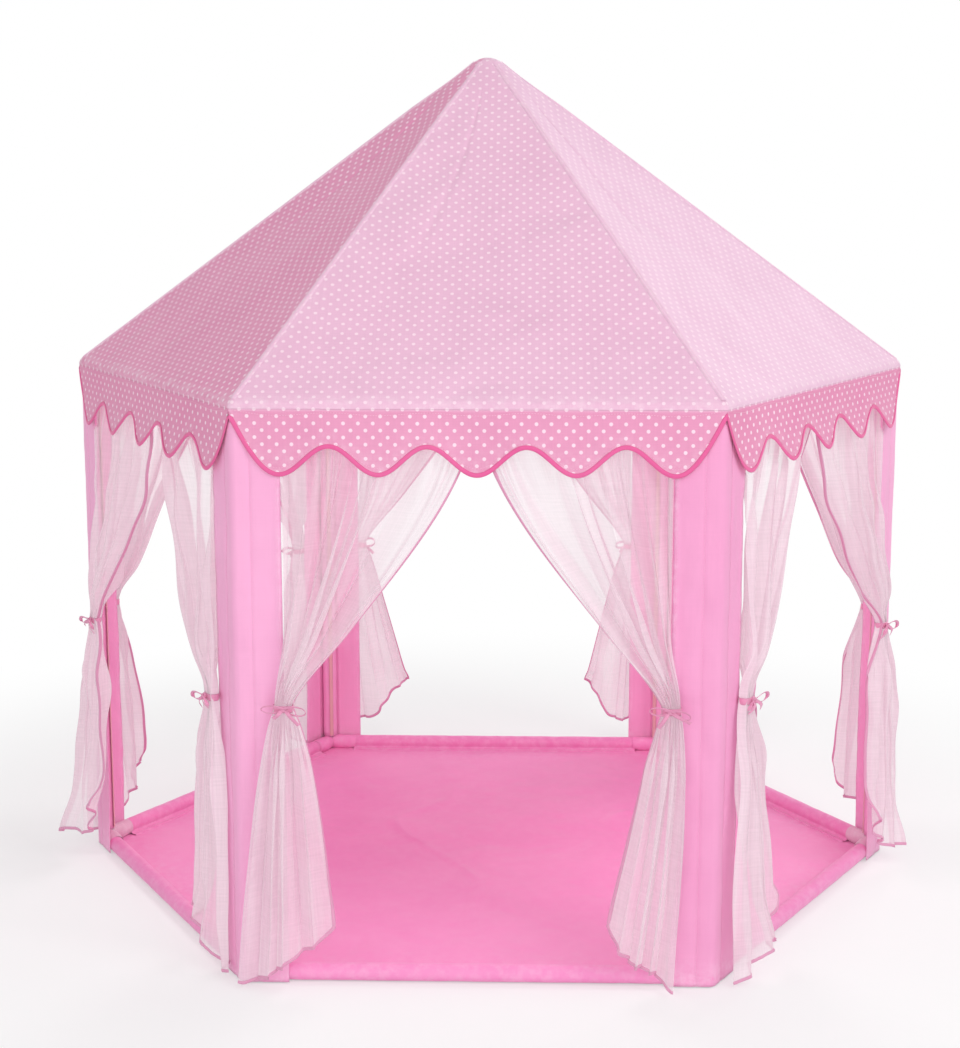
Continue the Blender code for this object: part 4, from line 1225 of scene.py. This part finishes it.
def corner_pocket(bay, angle, side):
    """A loose cover over the fitting at one end of the bay, mitred to its neighbour at the corner."""
    turns = np.linspace(-0.5 * math.pi, 1.3 * math.pi, 29)[None, :]
    lengthwise = np.linspace(0, 1, 16)[:, None]
    inner = swell(-np.cos(turns), -0.2, 0.9)
    full = 1 + POCKET_FULLNESS * inner * np.sin(math.pi * np.clip(lengthwise * 0.9 + 0.1, 0, 1))
    radius = np.where(np.cos(turns) > 0, POCKET_OUTSIDE, POCKET_INSIDE * full)
    radius = radius + 0.0006 * inner * soft_noise(lengthwise * 0.06, turns * 0.014, 0.03, 110 + bay)
    out, height = radius * np.cos(turns), np.maximum(BASE_HEIGHT + radius * np.sin(turns), 0.0006)
    near = BAY_LENGTH / 2 - SLEEVE_INSET - POCKET_OVERLAP
    mitre = BAY_LENGTH / 2 + out * math.tan(TURN / 2)
    along = near + (mitre - near) * lengthwise
    uv = np.stack(np.broadcast_arrays(along, turns * 0.014), axis=-1)
    order = slice(None, None, -side)
    return turned(in_bay(side * along, out, height)[order], angle), uv[order], {"wear": 0.6}


pocket_patches = {"side": [], "plain": []}
for bay, angle in enumerate(bay_turns):
    for side in (-1, 1):
        corner = CORNERS[(bay + (side > 0)) % SIDES]
        pocket_patches["side" if corner in ("left", "right") else "plain"].append(corner_pocket(bay, angle, side))
corner_pockets = [
    show("corner_pockets_" + kind, sheet_mesh("corner_pockets_" + kind, pocket_patches[kind]), cloth)
    for kind, cloth in (("side", pale_lining), ("plain", coated_floor))
]
print("pockets:", [len(pocket.data.polygons) for pocket in corner_pockets], "faces")

# %% Stitches along the seams of the base sleeves
STITCHES_STOP = 0.054
along = np.linspace(-BAY_LENGTH / 2 + STITCHES_STOP, BAY_LENGTH / 2 - STITCHES_STOP, 120)
seam_lines = [turned(in_bay(along, -0.0190, 0.0040), angle) for angle in bay_turns]
floor_stitches = sew_stitches("floor_stitches", path_mesh("path", seam_lines), 0.0045, 0.00324, 0.0007)
print("floor stitches:", len(floor_stitches.data.polygons), "faces")

# %% [markdown]
# ## Curtains
# These are the pieces that make the tent. Each is a straight length of organza, sewn to the eave in small gathers,
# swept aside to the post and tied. Three rules give its shape. Every thread line runs on one smooth curve from the
# eave to the tie. The cloth keeps its width at every height, so where it is drawn together the pleats must deepen:
# their depth is solved row by row until the wavy line across the row is as long as the cloth is wide. And below the
# tie the pleats open again, while the hem rises towards the leading edge, because that edge took the longer way.

# %% Sizes of a curtain
CURTAIN_EDGE, CURTAIN_WIDTH = 0.0635, 0.2765
CLOTH_WIDTH, CLOTH_LENGTH = 0.36, 0.88
WAIST_TOP, WAIST_FOOT = 0.4323, 0.4223
WAIST_WIDTH, WAIST_OUT = 0.026, 0.0252
HEADER_OUT = 0.0040
TAIL_WIDTH = 0.142
TIE_SHIFT = 0.0145
WAIST_ACROSS = CURTAIN_EDGE + WAIST_WIDTH / 2 - TIE_SHIFT
DRAPE_ROWS, TAIL_ROWS, COLUMNS = 84, 74, 181
print(f"a cloth of {CLOTH_WIDTH} m on {CURTAIN_WIDTH} m of the eave, tied {WAIST_ACROSS * 1000:.0f} mm from its post")

# %% The curves of its threads: the drape, and the tail below the tie


def bezier(points, t):
    """A smooth curve that starts at the first of four points, ends at the last, and leans to the two between."""
    a, b, c, d = points
    u = 1 - t
    return u**3 * a + 3 * u**2 * t * b + 3 * u * t**2 * c + t**3 * d


def drape_rows(u, rng):
    """From the eave to the tie: across from the post, height, middle out, shares of both pleats, and cloth width."""
    s = np.linspace(0, 1, DRAPE_ROWS)[:, None] ** 0.96
    lean_from = 0.34 + rng.uniform(-0.03, 0.03)
    drawn_to = 0.31 + rng.uniform(-0.03, 0.03)
    edges = [CURTAIN_EDGE + CURTAIN_WIDTH * u * k for k in (1.0, 0.92, drawn_to)] + [CURTAIN_EDGE + WAIST_WIDTH * u]
    fall = HANGING_TOP - WAIST_TOP
    heights = [HANGING_TOP, HANGING_TOP - fall * lean_from, HANGING_TOP - fall * 0.7, WAIST_TOP]
    middle = HEADER_OUT + (WAIST_OUT - HEADER_OUT) * s**1.8
    near_tie = swell(s, 0.78, 1.0)
    wide = swell(s, 0.0, 0.35) * (1 - near_tie)
    small = 1 - 0.76 * swell(s, 0.05, 0.4) * (1 - near_tie)
    width = CLOTH_WIDTH * (1.0 - 0.13 * swell(s, 0.05, 0.3))
    across = bezier(edges, s) - TIE_SHIFT * swell(s, 0.72, 1.0)
    return *np.broadcast_arrays(across, bezier(heights, s), middle, wide, small), width


def tail_rows(u, rng, spread, lean, flare, lift):
    """Below the tie, from its foot to the hem, which rises towards the leading edge and waves a little."""
    t = np.linspace(0, 1, TAIL_ROWS + 1)[1:, None]
    width = WAIST_WIDTH + (TAIL_WIDTH * spread - WAIST_WIDTH) * t**0.62
    lean = (TIE_SHIFT + lean) * t**1.3
    across = WAIST_ACROSS + lean + width * (u - 0.5)
    hem = 0.009 + lift + 0.085 * u**1.5 + (0.004 + 0.25 * lift) * np.sin(math.tau * 1.3 * u + rng.uniform(0, 6))
    height = WAIST_FOOT + (np.maximum(hem, 0.006) - WAIST_FOOT) * t
    kick = 0.010 * swell(t, 0.8, 1.0) * (np.sin(math.tau * 1.1 * u + rng.uniform(0, 6)) + 0.5)
    corner = 0.012 * swell(t, 0.88, 1.0) * swell(u, 0.82, 1.0)
    middle = WAIST_OUT + flare * (1.3 - 0.6 * u) * t**1.3 + 0.006 * np.sin(math.pi * u) * t + kick + corner
    wide = swell(t, 0.0, 0.3)
    small = 1 - 0.93 * swell(t, 0.02, 0.35)
    cloth = CLOTH_WIDTH * (0.87 - 0.25 * swell(t, 0.0, 0.5))
    return *np.broadcast_arrays(across, height + corner * 0.4, middle, wide, small), cloth


print("curves ready")

# %% How deep the pleats are, and where the cloth may not go
WIDE_PLEATS, SMALL_PLEATS = 3.6, 11.5


def pleat_phases(u, down, rng):
    """Two waves across the cloth, wide pleats and small gathers, unevenly spaced, that wander on their way down."""
    waves = []
    for count, wander in ((WIDE_PLEATS, 0.55), (SMALL_PLEATS, 0.8)):
        a, b, c, d = rng.uniform(0, math.tau, 4)
        spacing = np.exp(0.5 * np.sin(math.tau * 1.3 * u + a) + 0.4 * np.sin(math.tau * 3.1 * u + b))
        turns = np.cumsum(spacing, axis=1)
        turns = (turns - turns[:, :1]) / (turns[:, -1:] - turns[:, :1])
        slow = np.sin(math.tau * 0.9 * u + c + 1.1 * down)
        fast = np.sin(math.tau * 2.3 * u + d + 2.2 * down)
        waves.append(math.tau * count * turns + wander * (slow + 0.6 * fast) + 0.9 * np.sin(2.2 * down + d))
    return waves


def solve_depth(across, height, wave, width):
    """For each row, how deep its pleats must be for the line across them to be as long as the cloth is wide."""
    deepest, halvings = 0.06, 24
    low, high = np.zeros((len(width), 1)), np.full((len(width), 1), deepest)
    flat = np.diff(across, axis=1) ** 2 + np.diff(height, axis=1) ** 2
    for _ in range(halvings):
        middle = (low + high) / 2
        length = np.sqrt(flat + np.diff(wave * middle, axis=1) ** 2).sum(axis=1, keepdims=True)
        short = length < width
        low, high = np.where(short, middle, low), np.where(short, high, middle)
    return (low + high) / 2


def stays_outside(across, height, out):
    """Keeps the cloth on the outer side of the panel's flange, over the base sleeve and behind the valance."""
    off_flange, off_sleeve, behind_valance, valance_foot = 0.0172, 0.0160, 0.0125, 0.735
    away, softness = 0.06, 1e-6
    flange = off_flange - away * swell(across, 0.064, 0.080)
    sleeve = off_sleeve - away * swell(height, 0.030, 0.060)
    least = np.maximum(np.maximum(flange, sleeve), -0.03)
    above = (out + least + np.sqrt((out - least) ** 2 + softness)) / 2
    most = behind_valance + away * (1 - swell(height, valance_foot, valance_foot + 0.03))
    return np.where(height > valance_foot, (above + most - np.sqrt((above - most) ** 2 + softness)) / 2, above)


print("pleats:", WIDE_PLEATS, "wide and", SMALL_PLEATS, "small")

# %% The whole surface, and how many layers of thread the eye meets


def curtain_surface(seed, tail_shape):
    """The share of its width, and by row and column its points across from the post, its heights and how far out."""
    rng = np.random.default_rng(seed)
    u = np.linspace(0, 1, COLUMNS)[None, :]
    parts = [drape_rows(u, rng), tail_rows(u, rng, *tail_shape)]
    across, height, middle, wide, small = (np.concatenate([p[k] for p in parts]) for k in range(5))
    width = np.concatenate([p[5] for p in parts])
    down = (HANGING_TOP - height) / HANGING_TOP * 2
    major, minor = pleat_phases(u, down, rng)
    uneven = 1 + 0.4 * soft_noise(u + 0 * down, down, 0.35, seed + 7)
    wave = wide * uneven * np.sin(major) + 0.42 * small * np.sin(minor)
    deep = solve_depth(across, height, wave, width)
    out = middle + deep * wave
    folding_over = np.where(height < WAIST_FOOT, 0.3, 0.35)
    across = across + folding_over * deep * wide * np.sin(2 * major) * np.sin(math.pi * u) ** 0.5
    return u, across, height, stays_outside(across, height, out)


def steepness(points):
    """How many times more cloth than bay there is at each point, as seen square to the bay, and the way it faces."""
    normal = np.cross(np.gradient(points, axis=0), np.gradient(points, axis=1))
    size = np.linalg.norm(normal, axis=-1)
    most_layers = 2.5
    return np.clip(size / np.maximum(np.abs(normal[..., 1]), 0.18 * size), 1.0, most_layers), normal


print("surface of", DRAPE_ROWS + TAIL_ROWS, "by", COLUMNS, "points")

# %% [markdown]
# ## Twelve tails
# A tied curtain's tail falls as it was last left, so no two are alike. Four numbers shape each of them: how wide it
# spreads, how far its middle leans from the tie, how far it flares out, and how high its hem is lifted.

# %% Twelve curtains, each a little different
PLAIN_TAIL = (0.96, 0.0, 0.004, 0.0)
TAIL_SHAPES = {
    "front_left": (1.02, -0.016, 0.006, 0.0),
    "front_right": (0.68, 0.026, 0.004, 0.0),
    "left_front_left": (1.15, 0.004, 0.035, 0.022),
    "left_front_right": (0.9, 0.004, 0.002, 0.004),
    "right_front_left": (1.0, 0.0, 0.020, 0.0),
    "right_front_right": (1.0, 0.006, 0.020, 0.014),
    "rear_left": (0.9, 0.014, 0.002, 0.03),
    "rear_right": (0.95, 0.018, 0.004, 0.035),
}
TRIM_WIDTH, TRIM_THICKNESS = 0.0052, 0.0016
curtains = {}


def inward(edge, beside, distance):
    """A cloth's edge moved over the cloth, towards the row or column beside it."""
    toward = (beside - edge) / np.maximum(np.linalg.norm(beside - edge, axis=-1, keepdims=True), 1e-9)
    return edge + toward * distance


def trim_lines(points, normal):
    """The leading edge and the hem as paths, moved in a little so that the trim grips the cloth."""
    facing = normal / np.linalg.norm(normal, axis=-1, keepdims=True)
    leading = inward(points[:, -1], points[:, -2], TRIM_WIDTH * 0.2)
    hem = inward(points[-1], points[-2], TRIM_WIDTH * 0.4)
    return [leading[:-1], hem[::-1]], [facing[:-1, -1], facing[-1][::-1]]


def hang_curtain(name, bay, side, angle):
    """Makes one curtain's cloth and trim. Side is -1 for the curtain at the bay's left post, and 1 at its right."""
    u, across, height, out = curtain_surface(1000 + 10 * bay + side, TAIL_SHAPES.get(name, PLAIN_TAIL))
    points = in_bay(side * (BAY_LENGTH / 2 - across), out, height)
    layers, normal = steepness(points)
    layers = layers * (1 + 0.35 * (1 - swell(height, WAIST_FOOT - 0.03, WAIST_TOP + 0.06)))
    drop = (HANGING_TOP - height) / HANGING_TOP
    marks = {"wear": 0.5 * swell(drop, 0.93, 1.0) + 0.25 * np.abs(2 * u - 1) ** 8, "layers": layers}
    uv = np.stack([u * CLOTH_WIDTH + 0 * height, height * 1.04], axis=-1)
    order = slice(None, None, -side)
    patch = (turned(points, angle)[:, order], uv[:, order], {label: marks[label][:, order] for label in marks})
    cloth = show("curtain_cloth_" + name, sheet_mesh("curtain_cloth_" + name, [patch], weld=0), sheer_cloth)
    paths, ways = ([turned(line, angle) for line in lines] for lines in trim_lines(points, normal))
    trim = sew_tape("curtain_trim_" + name, paths, ways, TRIM_WIDTH, TRIM_THICKNESS, dusty_binding)
    return cloth, trim


def cloth_area(piece):
    """The area of all its faces, in square metres."""
    return sum(polygon.area for polygon in piece.data.polygons)


for bay, (bay_name, angle) in enumerate(zip(BAYS, bay_turns)):
    for side, hand in ((-1, "left"), (1, "right")):
        name = f"{bay_name}_{hand}"
        cloth, trim = hang_curtain(name, bay, side, angle)
        curtains[name] = (cloth, trim, angle, side)
        print(f"{name}: {cloth_area(cloth):.3f} of {CLOTH_WIDTH * CLOTH_LENGTH:.3f} m2")

# %% [markdown]
# ## Ties
# A narrow satin ribbon goes round the gathered cloth and ends in a small bow, with two drooping ends. The band
# follows the waist's rounded section, and each loop of the bow is a tape on a closed drop-shaped path that twists as
# it leaves the knot.

# %% The shapes of a band, a bow and its knot
BAND_WIDTH, BAND_THICKNESS = 0.0104, 0.0012
RIBBON_WIDTH, RIBBON_THICKNESS = 0.0058, 0.0009
BAND_HALF_ACROSS, BAND_HALF_OUT = WAIST_WIDTH / 2 + 0.0016, 0.0084
KNOT_ASIDE, KNOT_OUT, KNOT_HEIGHT = 0.002, 0.0108, 0.4285
KNOT_RADII = (0.0042, 0.0032, 0.0046)


def band_path():
    """A rounded rectangle round the waist: across and out from its middle, and the way the band faces there."""
    angle = np.linspace(0, math.tau, 49)[:-1]
    x = BAND_HALF_ACROSS * np.sign(np.cos(angle)) * np.abs(np.cos(angle)) ** 0.7
    n = BAND_HALF_OUT * np.sign(np.sin(angle)) * np.abs(np.sin(angle)) ** 0.7
    way = np.stack([x / BAND_HALF_ACROSS**2, -n / BAND_HALF_OUT**2, 0 * x], axis=-1)
    return x, n, way / np.linalg.norm(way, axis=-1, keepdims=True)


def bow_loop(rng, hand, t):
    """One loop as (across, out, up) from the knot, and the way the ribbon's width lies: (across, out, up) too."""
    reach, rise, droop = rng.uniform(0.028, 0.034), rng.uniform(0.006, 0.009), rng.uniform(-0.004, 0.006)
    around = math.tau * t
    x = hand * reach * (1 - np.cos(around)) / 2
    z = rise * np.sin(around) * np.sin(math.pi * t) ** 0.4 - droop * (1 - np.cos(around)) / 2
    n = 0.0015 + 0.006 * np.sin(math.pi * t) + 0.0025 * np.sin(around)
    return (x, n, z), (0 * t, 0.62 + 0 * t, 0.35 + 0.45 * np.cos(around * 0.5) ** 2)


def bow_end(rng, hand, t):
    """One loose end, drooping from the knot, in the same way."""
    length, sway = rng.uniform(0.016, 0.028), rng.uniform(0.4, 1.25)
    x = hand * (0.002 + length * sway * t**0.9)
    z = -0.001 - length * t * (1 - 0.25 * sway)
    n = 0.001 + 0.004 * np.sin(math.pi * t) + 0.001 * np.sin(5 * t)
    return (x, n, z), (0.9 + 0 * t, 0.25 * np.sin(3 * t), hand * 0.35 + 0 * t)


def knot_patch(middle):
    """A small rounded knot."""
    polar, round_way = np.linspace(0, math.pi, 9)[:, None], np.linspace(0, math.tau, 17)[None, :]
    x = KNOT_RADII[0] * np.sin(polar) * np.sin(round_way)
    n = KNOT_RADII[1] * np.sin(polar) * np.cos(round_way)
    z = KNOT_RADII[2] * np.cos(polar) + 0 * round_way
    return in_bay(middle[0] + x, middle[1] + n, middle[2] + z), np.stack([x, z], axis=-1), {"wear": 0.3}


print("a bow of two loops and two ends, in ribbon", RIBBON_WIDTH * 1000, "mm wide")

# %% Twelve ties
ties = {}
for index, (name, (cloth, trim, angle, side)) in enumerate(curtains.items()):
    rng = np.random.default_rng(400 + index)
    at = side * (BAY_LENGTH / 2 - WAIST_ACROSS)
    x, n, way = band_path()
    band, way = (turned(v, angle) for v in (in_bay(at + x, WAIST_OUT + n, (WAIST_TOP + WAIST_FOOT) / 2), way))
    ring = sew_tape("tie_band_" + name, [band], [way], BAND_WIDTH, BAND_THICKNESS, satin_ribbon, closed=True)
    knot = (at - side * KNOT_ASIDE, WAIST_OUT + KNOT_OUT, KNOT_HEIGHT)
    paths, ways = [], []
    for hand in (-1, 1):
        for part in (bow_loop, bow_end):
            path, lie = part(rng, hand, np.linspace(0, 1, 40))
            placed = in_bay(*(start + offset for start, offset in zip(knot, path)))
            face = np.cross(np.gradient(placed, axis=0), np.stack(lie, axis=-1) * [1, -1, 1])
            paths.append(turned(placed, angle))
            ways.append(turned(face / np.linalg.norm(face, axis=-1, keepdims=True), angle))
    bow = sew_tape("bow_" + name, paths, ways, RIBBON_WIDTH, RIBBON_THICKNESS, satin_ribbon)
    grid, uv, marks = knot_patch(knot)
    knot_mesh = sheet_mesh("bow_knot_" + name, [(turned(grid, angle), uv, marks)])
    ties[name] = (ring, bow, show("bow_knot_" + name, knot_mesh, satin_ribbon))
print("ties:", len(ties))

# %% [markdown]
# ## What moves with what
# The frame, the roof, the panels and the floor stand still, and their cloth is attached to the tent. Each curtain's
# cloth and trim are baked where they hang, in place of the CAD's curtain and its tail, and its tie is attached to the
# tent. The six sleeve tapes are one piece.

# %% Bodies, and the pieces that stand for CAD solids
for piece in (canopy, hem_binding, ridge_seams, *roof_stitches, eave_sleeves):
    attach(piece, "tent")
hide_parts("roof_canopy")
for corner, panel in zip(CORNERS, panels):
    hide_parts("corner_panel_" + corner)
for piece in (*panels, *panel_stitches, sleeve_tapes):
    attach(piece, "tent")
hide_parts("floor_sheet")
for piece in (floor_cloth, *corner_pockets, floor_stitches):
    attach(piece, "tent")
print("still: roof, panels and floor")

# %% The curtains' cloth and trim in place of the CAD's curtains, and their ties on the tent
for name, (cloth, trim, angle, side) in curtains.items():
    at = turned(in_bay(side * (BAY_LENGTH / 2 - WAIST_ACROSS), WAIST_OUT, 0.0), angle)
    for piece in (cloth, trim):
        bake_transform(piece)
    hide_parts("curtain_" + name, "curtain_tail_" + name)
    for piece in ties[name]:
        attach(piece, "tent")
print("curtains that swing:", len(curtains))
